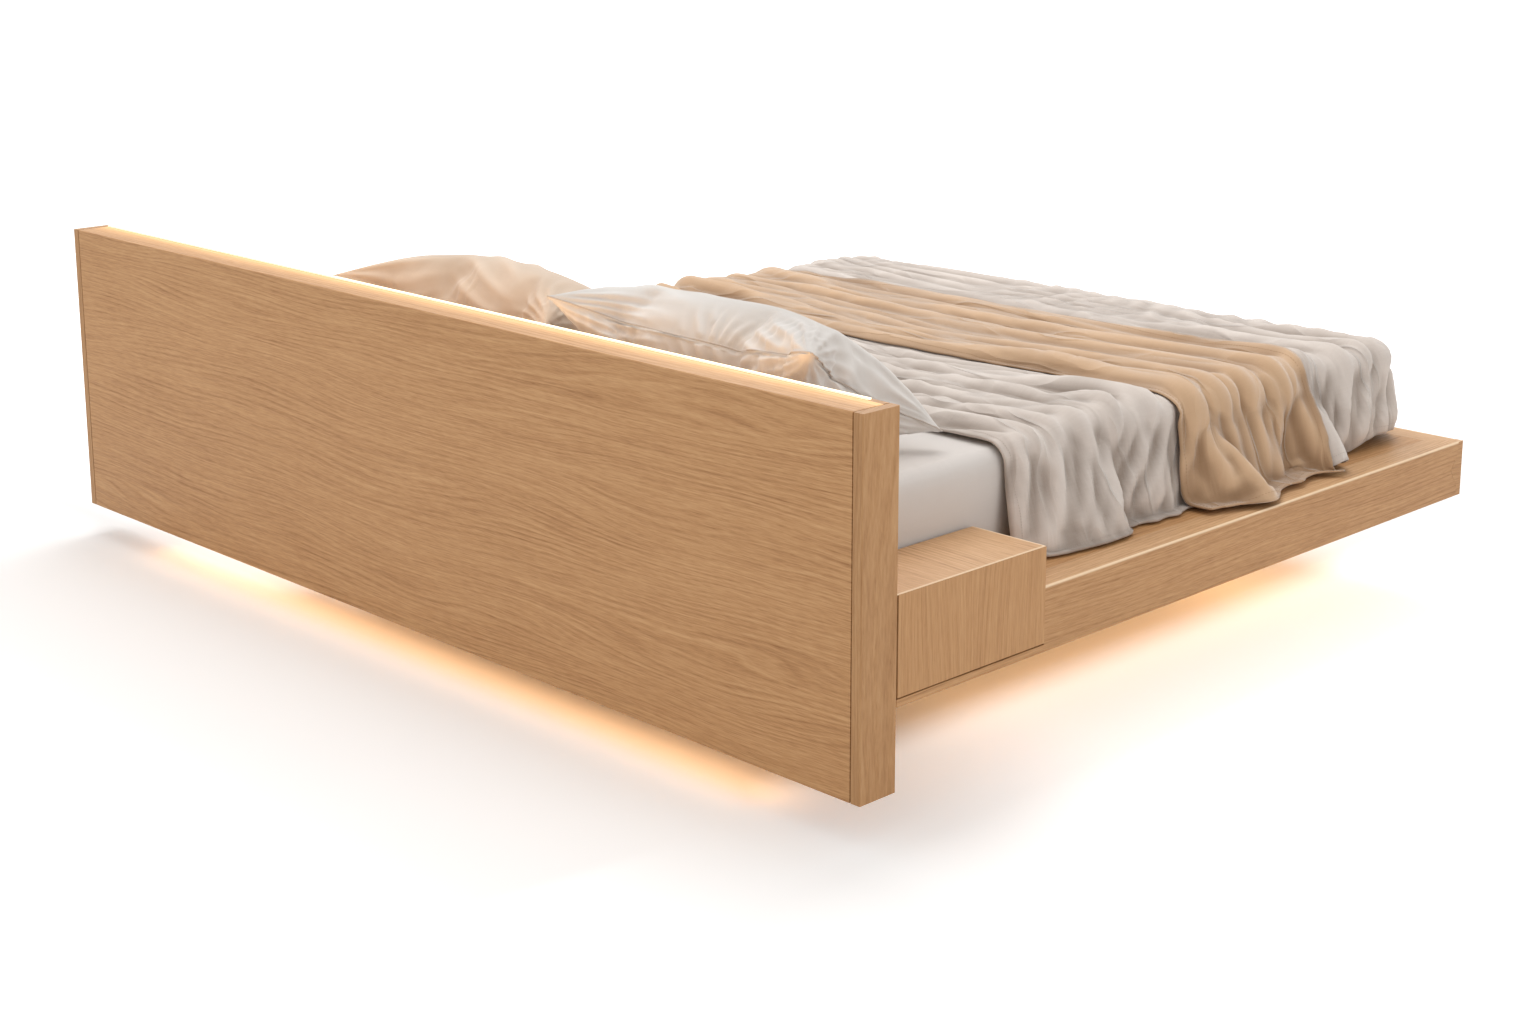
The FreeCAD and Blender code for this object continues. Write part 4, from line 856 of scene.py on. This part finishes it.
def drape(across, along, start, lift, slants, folds):
    """Points of flat cloth laid over the mattress, with the folds that it starts from."""
    half = (MATTRESS_HIGH.x - MATTRESS_LOW.x) / 2 - MATTRESS_CORNER
    foot = MATTRESS_HIGH.y - MATTRESS_CORNER
    side = np.sign(across)
    y = start + along
    footward = step(y, foot - 0.28, foot - 0.02)
    past_side = np.maximum(np.abs(across) - half, 0) * (1 - 0.07 * footward)
    past_foot = np.maximum(y - foot, 0)
    reach = np.maximum(past_side, past_foot)
    turn = np.where(past_foot <= past_side,
                    math.pi / 4 * past_foot / np.maximum(past_side, 1e-9),
                    math.pi / 2 - math.pi / 4 * past_side / np.maximum(past_foot, 1e-9))
    turn = np.where(reach > 0, turn, 0)
    hem = np.where(past_foot <= 0, y - foot,
                   turn * 0.12 + np.where(past_side <= 0, half - np.abs(across), 0))
    slant = slants[0](y, side) * (1 - footward) + slants[1] * footward
    bend = math.pi / 2 - slant
    # Over the edge in an arc, down the side, and flat on the deck with what is left
    bulge = 0.045 * step(y, 0.62, 0.92) * np.cos(turn) ** 2 * step(lift, 0.02, 0.0)
    flat = MATTRESS_CORNER + lift - COVER_EDGE + bulge
    arc = np.clip(reach - flat, 0, COVER_EDGE * bend) / COVER_EDGE
    fall_room = (BED_TOP - DECK_Z - COVER_EDGE * (1 - np.cos(bend))) / np.sin(bend)
    fall = np.clip(reach - flat - COVER_EDGE * bend, 0, fall_room)
    lying = np.maximum(reach - flat - COVER_EDGE * bend - fall_room, 0)
    out = np.minimum(reach, flat) + COVER_EDGE * np.sin(arc) + fall * np.cos(bend) + lying
    down = COVER_EDGE * (1 - np.cos(arc)) + fall * np.sin(bend)
    hang = step(reach, flat, flat + 0.14)
    wave = folds[0](across, y) * (1 - hang) + folds[1](hem, side, reach) * hang
    on_deck = step(lying, 0, 0.03)
    out = out + wave * np.sin(arc) * (1 - 0.3 * on_deck)
    rise = wave * np.cos(arc) * (1 - on_deck) - down
    x = np.where(past_foot > 0, np.cos(turn), 1.0) * out
    x = side * np.where(past_side > 0, half + x, np.abs(across))
    y = np.where(past_foot > 0, foot + np.sin(turn) * out, y)
    return np.stack([MIDDLE_X + x, y, BED_TOP + lift + rise], axis=-1)


def cloth_piece(name, points, across, along, growth):
    """A grid of cloth through rows of points, with its grown measures as its cloth map."""
    faces = grid_faces(grid_numbers(across.shape))
    piece = add_piece(name, points.reshape(-1, 3).tolist(), faces.tolist())
    measures = np.stack([across.ravel(), along.ravel()], axis=-1) * (1 + growth)
    map_cloth(piece.data, measures[faces.ravel()])
    return piece


def outward(piece, size):
    """A cover's normals on its grid, a little softened."""
    normals = soften(normal_array(piece).reshape(*size, 3), NORMAL_PASSES)
    return normals / np.linalg.norm(normals, axis=-1, keepdims=True)


def raise_folds(piece, heights):
    """Raise a settled cover's folds along its normals, except where it lies on the deck."""
    grid = point_array(piece).reshape(*heights.shape, 3)
    rise = heights * step(grid[..., Z] - DECK_Z, 0.012, 0.06)
    grid = soften(grid + outward(piece, heights.shape) * rise[..., None], 1)
    set_points(piece, grid.reshape(-1, 3))


def keep_painted_fold_shade(piece, stand):
    """An attribute from -1 in a piece's hollows to 1 on its ridges, for painted shade and
    highlight.
    """
    levels = piece.data.attributes.new("relief", "FLOAT", "POINT")
    levels.data.foreach_set("value", np.clip(stand / RIDGE_HEIGHT, -1, 1).ravel())


def make_duvet():
    """The duvet cover: long ridges across the bed that fall as folds at the sides."""
    across, along = cloth_grid(DUVET_WIDTH, DUVET_LENGTH, DUVET_FACE)
    points = drape(across, along, HEAD_Y + DUVET_START, COVER_CLEARANCE,
                   (duvet_slant, DUVET_FOOT_SLANT), (duvet_top_folds, duvet_hang_folds))
    duvet = cloth_piece("duvet_cover", points, across, along, DUVET_GROWTH)
    index = grid_numbers(across.shape)
    edges = (index[0], index[-1], index[:, [0, 1, -2, -1]].ravel())
    settle(duvet, SETTLE_FRAMES, DUVET_GROWTH, DUVET_WEIGHT, COVER_BENDING,
           held=np.unique(np.concatenate(edges)))
    raise_folds(duvet, duvet_creases(across, along))
    return duvet, across.shape


def lay_edges(points, size, duvet):
    """Let the long edges of a cover lie down on the duvet where they are on top of the bed."""
    tree = BVHTree.FromObject(duvet, bpy.context.evaluated_depsgraph_get())
    grid = points.reshape(*size, 3)
    half = (MATTRESS_HIGH.x - MATTRESS_LOW.x) / 2
    rows = np.arange(size[0])
    near_edge = 1 - step(np.minimum(rows, rows[::-1]), 1, 7)
    on_top = 1 - step(np.abs(grid[..., X] - MIDDLE_X), half - 0.16, half - 0.04)
    shares = near_edge[:, None] * on_top
    for row, column in zip(*np.nonzero(shares)):
        point = grid[row, column]
        above = Vector((point[X], point[Y], BED_TOP + 0.3))
        hit = tree.ray_cast(above, Vector((0, 0, -1)))[0]
        if hit is not None and hit.z < point[Z]:
            point[Z] += (hit.z + THROW_CLEARANCE - point[Z]) * shares[row, column]
    return grid.reshape(-1, 3)


def make_throw(duvet):
    """The brushed throw across the bed, on top of the duvet."""
    across, along = cloth_grid(THROW_WIDTH, THROW_LENGTH, THROW_FACE)
    narrowed = along * (1 - 0.06 * step(np.abs(across), 0.95, 1.2))
    points = drape(across, narrowed, HEAD_Y + THROW_START, COVER_CLEARANCE + THROW_CLEARANCE,
                   (throw_slant, THROW_FOOT_SLANT), (throw_top_folds, throw_hang_folds))
    points = keep_outside(points.reshape(-1, 3), duvet, THROW_CLEARANCE)
    throw = cloth_piece("throw_blanket", points, across, along, THROW_GROWTH)
    make_solid(duvet, COVER_CONTACT)
    index = grid_numbers(across.shape)
    settle(throw, SETTLE_FRAMES, THROW_GROWTH, THROW_WEIGHT, COVER_BENDING,
           held=index[:, [0, 1, -2, -1]].ravel(), distance=0.002)
    duvet.modifiers.clear()
    raise_folds(throw, throw_creases(across, along))
    points = lay_edges(point_array(throw), across.shape, duvet)
    set_points(throw, hold_above(keep_outside(points, duvet, COVER_CONTACT)))
    return throw, across.shape


# Bedding: the pillows

# Each pillow's seam: middle across the bed, its upper and lower edges along the bed and up, and
# how far the pillow stands above it; then its cloth's flat size, face size and filling
PILLOW_SEATS = {
    "left": (-0.075, (-0.985, 0.872), (-0.545, 0.690), 0.158),
    "right": (0.790, (-0.988, 0.938), (-0.572, 0.695), 0.136),
}
PILLOW_LENGTH = 0.862
PILLOW_UNDER = 0.105
PILLOW_FLAT = (0.945, 0.565)
PILLOW_FACE = 0.0115
PILLOW_FRAMES = 20
PILLOW_PRESSURE = 3.6
PILLOW_BENDING = 0.4
# How much the bag's sides draw in along it and across it, how far its two layers stand off the
# seam as they are sewn, and how uneven its filling is
BAG_DRAW = (0.035, 0.05)
BAG_HEIGHT = 0.012
BAG_UNEVEN = 0.004
# Heights of the wrinkles out of the corners, off the seam and over the middle, and of the dents
FAN_HEIGHT, TUCK_HEIGHT, SWEEP_HEIGHT, DENT_HEIGHT = 0.0060, 0.0075, 0.0075, 0.004
# Distances from the mattress and the headboard, and how softly a pillow flattens on them
PILLOW_LIFT, PILLOW_GAP = 0.001, 0.002
CONTACT_BLEND = 0.012


def pillow_bag(name):
    """Two flat layers of cloth sewn together round the edge, their corners a little drawn in."""
    length, width = PILLOW_FLAT
    across, along = cloth_grid(length, width, PILLOW_FACE)
    along = along - width / 2
    share_x = across / (length / 2)
    share_y = along / (width / 2)
    draw_x = across * (1 - BAG_DRAW[0] * (1 - share_y ** 2) * np.abs(share_x) ** 3)
    draw_y = along * (1 - BAG_DRAW[1] * (1 - share_x ** 2) * np.abs(share_y) ** 3)
    swell = BAG_HEIGHT * (1 - share_x ** 2) ** 0.5 * (1 - share_y ** 2) ** 0.5
    layers = [np.stack([draw_x, draw_y, up], axis=-1).reshape(-1, 3) for up in (swell, -swell)]
    index = grid_numbers(across.shape)
    below = index + index.size
    for edge in ((0, ...), (-1, ...), (..., 0), (..., -1)):
        below[edge] = index[edge]
    faces = np.concatenate([grid_faces(index), grid_faces(below)[:, [0, 3, 2, 1]]])
    used = np.unique(faces)
    renumber = np.full(2 * index.size, -1)
    renumber[used] = np.arange(len(used))
    piece = add_piece(name, np.concatenate(layers)[used].tolist(), renumber[faces].tolist())
    measures = np.stack([across.ravel(), along.ravel()], axis=-1)
    map_cloth(piece.data, np.concatenate([measures, measures + [length, 0]])[faces.ravel()])
    rim = np.concatenate([index[0], index[1:, -1], index[-1, -2::-1], index[-2:0:-1, 0]])
    return piece, renumber[rim]


def gather(piece, seed):
    """Wrinkles in a pillow's cloth: out of its corners, off its seam, and wide soft dents."""
    mesh = piece.data
    length, width = PILLOW_FLAT
    corners = read_all(mesh.loops, "vertex_index", kind=np.int32)
    measures = np.zeros((len(mesh.vertices), 2))
    measures[corners] = read_all(mesh.uv_layers["cloth"].data, "uv", 2)
    u, v = measures.T
    under = u > length * 0.5 + 1e-4
    u = np.where(under, u - length, u)
    from_end = np.maximum(length / 2 - np.abs(u), 0)
    from_side = np.maximum(width / 2 - np.abs(v), 0)
    corner = (np.sign(u) + 2 * np.sign(v) + 4 * under).astype(float)
    away = np.hypot(from_end, from_side)
    turn = np.arctan2(from_side, from_end)
    wander = ripple(turn * 2 + corner * 3, away * 5, seed)
    fan = crest(turn * 4.2 + 0.9 * wander + corner * 0.37, 1.4)
    fan *= step(away, 0.02, 0.13) * (1 - step(away, 0.16, 0.40))
    tuck = crest(u / 0.041 + 1.1 * ripple(u * 9 + corner, from_side * 6, seed + 1), 1.6)
    tuck *= step(away, 0.05, 0.20) * step(from_side, 0.0, 0.030) * (1 - step(from_side, 0.05, 0.19))
    tuck *= step(ripple(u * 7 + 3 + corner, from_side * 2, seed + 2), -0.5, 0.6)
    sweep = crest((u * 0.55 + v) / 0.085 + 1.2 * ripple(u * 3, v * 3 + under, seed + 3), 1.6)
    sweep *= step(away, 0.10, 0.25) * step(ripple(u * 4, v * 4 + 5, seed + 4), -0.3, 0.6)
    dent = ripple(u * 7 + 5, v * 7, seed + 5)
    dent *= step(from_side, 0.0, 0.08) * step(from_end, 0.0, 0.08)
    rise = FAN_HEIGHT * fan + TUCK_HEIGHT * tuck + SWEEP_HEIGHT * sweep + DENT_HEIGHT * dent
    set_points(piece, point_array(piece) + normal_array(piece) * rise[:, None])
    # Painted shade: the wrinkles' hollows and ridges are kept for the finish to paint darker and
    # lighter
    keep_painted_fold_shade(piece, rise - rise.mean())


def soft_floor(value, floor):
    """The value where it is above a floor, and a flattened contact where it would go below."""
    above = value - floor
    return floor + 0.5 * (above + np.sqrt(above * above + CONTACT_BLEND * CONTACT_BLEND))


def make_pillow(side, material, seed):
    """A filled pillow that leans on the headboard. Returns the points of its seam."""
    piece, rim = pillow_bag("pillow_case_" + side)
    points = point_array(piece)
    points[:, Z] += np.where(np.abs(points[:, Z]) > 1e-4, BAG_UNEVEN, 0) * ripple(
        points[:, X] * 9 + seed, points[:, Y] * 9, seed) * np.sign(points[:, Z])
    set_points(piece, points)
    settle(piece, PILLOW_FRAMES, 0.0, 0.0, PILLOW_BENDING, pressure=PILLOW_PRESSURE)
    relax(piece, 8)
    finer = piece.modifiers.new("finer", "SUBSURF")
    finer.levels = 1
    finer.render_levels = 1
    keep_shape(piece)
    gather(piece, seed)
    middle, upper, lower, crown = PILLOW_SEATS[side]
    width = math.hypot(upper[0] - lower[0], upper[1] - lower[1])
    lean = math.atan2(upper[1] - lower[1], lower[0] - upper[0])
    points = point_array(piece)
    for axis, size in ((X, PILLOW_LENGTH), (Y, width)):
        points[:, axis] *= size / (points[:, axis].max() - points[:, axis].min())
    up = points[:, Z]
    points[:, Z] *= np.where(up > 0, crown / up.max(), PILLOW_UNDER / -up.min())
    set_points(piece, points)
    piece.data.transform(Matrix.Rotation(-lean, 4, "X"))
    points = point_array(piece)
    points += np.array([middle, (upper[0] + lower[0]) / 2, (upper[1] + lower[1]) / 2])
    points[:, Z] = soft_floor(points[:, Z], BED_TOP + PILLOW_LIFT)
    points[:, Y] = soft_floor(points[:, Y], HEAD_Y + PILLOW_GAP)
    set_points(piece, points)
    piece.data.materials.append(material)
    smooth(piece)
    seam = point_array(piece)[rim]
    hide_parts("pillow_" + side)
    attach(piece, "bed")
    return seam


# Stitches and piping

def node_tree(name, inputs):
    """An empty geometry tree with named inputs."""
    tree = bpy.data.node_groups.new(name, "GeometryNodeTree")
    tree.is_modifier = True
    tree.interface.new_socket(name="Line", in_out="INPUT", socket_type="NodeSocketGeometry")
    for label, value in inputs.items():
        socket = tree.interface.new_socket(name=label, in_out="INPUT",
                                           socket_type="NodeSocketFloat")
        socket.default_value = value
    tree.interface.new_socket(name="Geometry", in_out="OUTPUT", socket_type="NodeSocketGeometry")
    given = tree.nodes.new("NodeGroupInput").outputs
    line = add_node(tree, "GeometryNodeMeshToCurve", {"Mesh": given["Line"]}).outputs[0]
    return tree, given, line


def finish_tree(tree, geometry, material):
    """End a tree in real faces with their material."""
    real = add_node(tree, "GeometryNodeRealizeInstances", {"Geometry": geometry})
    dressed = add_node(tree, "GeometryNodeSetMaterial",
                       {"Geometry": real.outputs[0], "Material": material})
    tree.links.new(dressed.outputs[0], tree.nodes.new("NodeGroupOutput").inputs[0])
    return tree


def stitch_tree(material):
    """Short raised stitches along a line."""
    tree, given, line = node_tree("hem_stitches", {
        "Stitch length": 0.0040, "Stitch thickness": 0.0010, "Stitch spacing": 0.0062})
    marks = add_node(tree, "GeometryNodeCurveToPoints",
                     {"Curve": line, "Length": given["Stitch spacing"]}, mode="LENGTH").outputs
    thick = given["Stitch thickness"]
    size = add_node(tree, "ShaderNodeCombineXYZ", {"X": thick, "Y": thick,
                                                   "Z": given["Stitch length"]})
    bead = add_node(tree, "GeometryNodeMeshUVSphere", {"Segments": 6, "Rings": 4, "Radius": 0.5})
    placed = add_node(tree, "GeometryNodeInstanceOnPoints", {
        "Points": marks["Points"], "Instance": bead.outputs[0],
        "Rotation": marks["Rotation"], "Scale": size.outputs[0]})
    return finish_tree(tree, placed.outputs[0], material)


def piping_tree(material):
    """A round cord along a line."""
    tree, given, line = node_tree("seam_piping", {"Piping radius": 0.0017})
    ring = add_node(tree, "GeometryNodeCurvePrimitiveCircle",
                    {"Resolution": 8, "Radius": given["Piping radius"]})
    tube = add_node(tree, "GeometryNodeCurveToMesh",
                    {"Curve": line, "Profile Curve": ring.outputs[0], "Fill Caps": True})
    return finish_tree(tree, tube.outputs[0], material)


def run_along(name, lines, closed, tree, sizes):
    """A piece that a tree makes along lines of points."""
    points = []
    edges = []
    for line in lines:
        first = len(points)
        points.extend([tuple(point) for point in line])
        edges.extend([(first + part, first + part + 1) for part in range(len(line) - 1)])
        if closed:
            edges.append((len(points) - 1, first))
    piece = add_piece(name, points, [], edges)
    maker = piece.modifiers.new("maker", "NODES")
    maker.node_group = tree
    for item in tree.interface.items_tree:
        if item.in_out == "INPUT" and item.name in sizes:
            maker[item.identifier] = sizes[item.name]
    keep_shape(piece)
    smooth(piece)
    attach(piece, "bed")
    return piece


def hem_cover(cover, size, thickness, cloth, name, tree, sizes):
    """Stitch a cover's hem a few threads in from each edge, then give it thickness and cloth."""
    points = point_array(cover)
    raised = (points + normal_array(cover) * (thickness + STITCH_LIFT)).reshape(*size, 3)
    inner = slice(HEM_INSET, -HEM_INSET)
    lines = (raised[HEM_INSET, inner], raised[inner, HEM_INSET], raised[inner, -1 - HEM_INSET],
             raised[-1 - HEM_INSET, inner])
    hem = run_along(name, lines, False, tree, sizes)
    grid = points.reshape(*size, 3)
    # Painted shade: the cover's hollows and ridges are kept for the finish to paint darker and
    # lighter
    above = grid - soften(grid, PAINTED_FOLD_SHADE_PASSES)
    keep_painted_fold_shade(cover, (above * outward(cover, size)).sum(axis=-1))
    thicken(cover, thickness)
    cover.data.materials.append(cloth)
    return hem


# A flat form at the deck's height that reaches past the covers, in X and Y
DECK_FORM = ((-2.0, -1.1), (3.0, 2.0))
PILLOW_SEEDS = {"left": 5, "right": 8}


def make_bedding():
    """Mattress, duvet cover, throw and pillows, each settled on what carries it."""
    sheet_linen = woven("sheet_linen_cloth", tone(222, 216, 211), tone(200, 193, 187), 0.0009, 0.10,
                        creases=(0.05, 0.06))
    # Each cloth's folds value sets its painted shade in fold hollows and painted highlight on fold
    # ridges; the duvet's and throw's dark tones are reached mostly in those hollows
    pillow_cottons = {
        side: woven(name, light, dark, 0.0008, 0.10, creases=(0.0, 0.20), folds=0.24)
        for side, name, light, dark in (
            ("right", "pillow_cotton_cloth", tone(230, 225, 220), tone(190, 183, 176)),
            ("left", "warm_cotton_cloth", tone(228, 207, 186), tone(186, 162, 139)))}
    duvet_linen = woven("duvet_linen_cloth", tone(217, 206, 197), tone(150, 136, 125), 0.0011, 0.18,
                        folds=0.38)
    throw_linen = woven("throw_brushed_cloth", tone(207, 173, 139), tone(138, 106, 77), 0.0013,
                        0.15, creases=(0.7, 0.1), sheen=0.6, roughness=0.92, folds=0.38)
    duvet_stitches = stitch_tree(thread("duvet_thread", tone(190, 178, 168)))
    throw_stitches = stitch_tree(thread("throw_thread", tone(176, 138, 100)))
    pillow_piping = piping_tree(thread("pillow_piping_thread", tone(206, 194, 184)))
    make_mattress(sheet_linen)
    mattress_form = add_piece("mattress_form", *mattress_shape())
    (low_x, low_y), (high_x, high_y) = DECK_FORM
    deck_form = add_piece("deck_form", [
        (low_x, low_y, DECK_Z), (high_x, low_y, DECK_Z), (high_x, high_y, DECK_Z),
        (low_x, high_y, DECK_Z)], [(0, 1, 2, 3)])
    for form in (mattress_form, deck_form):
        make_solid(form, SHEET_CLEARANCE)
    duvet, duvet_size = make_duvet()
    points = keep_outside(point_array(duvet), mattress_form, SHEET_CLEARANCE)
    set_points(duvet, hold_above(points))
    throw, throw_size = make_throw(duvet)
    for form in (mattress_form, deck_form):
        bpy.data.objects.remove(form)
    duvet_hem = hem_cover(duvet, duvet_size, COVER_THICKNESS, duvet_linen, "duvet_hem_stitches",
                          duvet_stitches, {"Stitch length": 0.0042})
    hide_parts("duvet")
    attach(duvet, "bed")
    throw_hem = hem_cover(throw, throw_size, THROW_THICKNESS, throw_linen, "throw_hem_stitches",
                          throw_stitches, {"Stitch length": 0.0052, "Stitch spacing": 0.0085})
    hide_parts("throw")
    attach(throw, "bed")
    for side, seed in PILLOW_SEEDS.items():
        seam = make_pillow(side, pillow_cottons[side], seed)
        run_along("pillow_piping_" + side, [seam], True, pillow_piping, {})


# Stage

FLOOR_REACH = 60.0
BED_HALF_WIDTH, BED_HALF_LENGTH = 1.52, 1.16


def build_floor():
    """A large pale floor that keeps the bed's shadow, lightened with painted light just beside the
    bed.
    """
    finish = Finish("studio_floor")
    x, y = finish.place()[:2]
    past_x = (abs(x) - BED_HALF_WIDTH).larger(0.0)
    past_y = (abs(y) - BED_HALF_LENGTH).larger(0.0)
    away = (past_x * past_x + past_y * past_y).math("SQRT").rise(0.1, 2.6)
    # Painted light: the floor is made brighter just outside the strips' light than its shadow would
    # leave it
    headward = y * -1.0
    right = x.rise(1.08, 1.26) * (0.5 - headward.rise(0.3, 1.1) * 0.25)
    left = (x * -1.0).rise(0.27, 0.45) * y.rise(-1.06, -0.9) * 0.4
    ahead = headward.rise(1.06, 1.20) * (0.25 - headward.rise(1.3, 1.9) * 0.13)
    beside = right.larger(left).larger(ahead)
    seen = finish.read("ShaderNodeLightPath", "Is Camera Ray")
    lift = (seen * (away * 0.36 + beside)).kept()
    finish.surface(Base_Color=(0.90, 0.90, 0.90), Roughness=0.9, Specular_IOR_Level=0.0,
                   Emission_Color=finish.mix(lift, BLACK, WHITE), Emission_Strength=1.0)
    corners = [(FLOOR_REACH * across, FLOOR_REACH * along, 0)
               for across, along in ((-1, -1), (1, -1), (1, 1), (-1, 1))]
    floor = add_piece("studio_floor", corners, [(0, 1, 2, 3)])
    floor.data.materials.append(finish.material)


def build_world():
    """Plain pale light from all round; the background itself shows white."""
    world = bpy.data.worlds.new("studio")
    bpy.context.scene.world = world
    world.use_nodes = True
    tree = world.node_tree
    tree.nodes.clear()
    path = add_node(tree, "ShaderNodeLightPath").outputs
    seen = Level(tree, path["Is Camera Ray"]).larger(Level(tree, path["Is Glossy Ray"])).larger(
        Level(tree, path["Is Transmission Ray"]))
    lit = add_node(tree, "ShaderNodeBackground", {"Color": (1.0, 0.985, 0.97), "Strength": 0.68})
    white = add_node(tree, "ShaderNodeBackground", {"Color": WHITE, "Strength": 1.0})
    mixed = add_node(tree, "ShaderNodeMixShader", {0: seen, 1: lit.outputs[0], 2: white.outputs[0]})
    add_node(tree, "ShaderNodeOutputWorld", {"Surface": mixed.outputs[0]})


WARM = (1.0, 0.53, 0.20)
WARM_TOP = (1.0, 0.60, 0.28)
HEAD_STRIP_LENGTH = 2.46
STRIP_WIDTH = 0.012
STRIP_DROP = 0.02
# The side and foot strips' light is gathered where the photograph shows it on the floor
STRIP_INSET = 0.39


def add_lamp(name, place, target, size, power, colour=WHITE, along=X):
    """An area lamp that points at a target, its long side along an axis."""
    data = bpy.data.lights.new(name, "AREA")
    data.shape = "RECTANGLE"
    data.size, data.size_y = size
    data.energy = power
    data.color = colour
    back = (Vector(place) - Vector(target)).normalized()
    side = Vector((1, 0, 0)) if along == X else Vector((0, 1, 0))
    side = (side - back * side.dot(back)).normalized()
    turned = Matrix((side, back.cross(side), back)).transposed().to_4x4()
    add_object(name, data).matrix_world = Matrix.Translation(place) @ turned


def build_lamps():
    """Soft studio lamps, then the warm light of the strips in and under the bed."""
    add_lamp("lamp_above", (-1.0, 1.4, 5.2), (0.3, 0.0, 0.4), (4.2, 4.2), 190.0)
    add_lamp("lamp_back", (-2.5, -7.0, 3.2), (0.0, -1.0, 0.5), (5.0, 5.0), 60.0)
    add_lamp("lamp_side", (7.5, 0.5, 3.4), (0.8, 0.0, 0.4), (4.5, 4.5), 72.0)
    low, high = TOP_LIGHT_LOW, TOP_LIGHT_HIGH
    middle_x = (low.x + high.x) / 2
    add_lamp("strip_top", (middle_x, high.y, high.z + 0.004),
             (middle_x, high.y + 0.10, high.z + 0.10), (high.x - low.x, 0.05), 1.5, WARM_TOP)
    strips_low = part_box("under_light_diffusers")[0]
    add_lamp("strip_head", (0.0, strips_low.y + 0.02, strips_low.z - 0.004),
             (0.0, strips_low.y + 0.04, 0.0), (HEAD_STRIP_LENGTH, 0.014), 0.74, WARM)
    low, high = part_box("side_rail_left")[0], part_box("side_rail_right")[1]
    middle_x, middle_y = (low.x + high.x) / 2, (low.y + high.y) / 2
    for name, x, y, length, power, axis in (
            ("strip_right", high.x - STRIP_INSET, middle_y, high.y - low.y, 1.5, Y),
            ("strip_left", low.x + STRIP_INSET, middle_y, high.y - low.y, 1.5, Y),
            ("strip_foot", middle_x, high.y - STRIP_INSET,
             high.x - low.x - 2 * STRIP_INSET, 1.2, X)):
        add_lamp(name, (x, y, low.z - STRIP_DROP), (x, y, 0), (length, STRIP_WIDTH), power, WARM,
                 axis)


CAMERA_PLACE = (4.4303, -4.2829, 1.9506)
CAMERA_YAW = 0.792185906
CAMERA_PITCH = 0.220582609
# The photograph's width, the camera's focal length and how far its axis is off, in pixels
PHOTO_WIDTH = 1536
FOCAL_PIXELS = 2312.58
AXIS_DROP = 150
SENSOR_WIDTH = 36.0


def build_camera():
    """The camera of the photograph."""
    data = bpy.data.cameras.new("camera")
    data.sensor_width = SENSOR_WIDTH
    data.lens = FOCAL_PIXELS / PHOTO_WIDTH * SENSOR_WIDTH
    data.shift_y = -AXIS_DROP / PHOTO_WIDTH
    camera = add_object("camera", data)
    camera.location = CAMERA_PLACE
    flat = math.cos(CAMERA_PITCH)
    way = Vector((-math.sin(CAMERA_YAW) * flat, math.cos(CAMERA_YAW) * flat,
                  -math.sin(CAMERA_PITCH)))
    camera.rotation_mode = "QUATERNION"
    camera.rotation_quaternion = way.to_track_quat("-Z", "Y")
    bpy.context.scene.camera = camera


bpy.context.scene.view_settings.view_transform = "Standard"
dress_the_frame()
make_bedding()
build_floor()
build_world()
build_lamps()
build_camera()
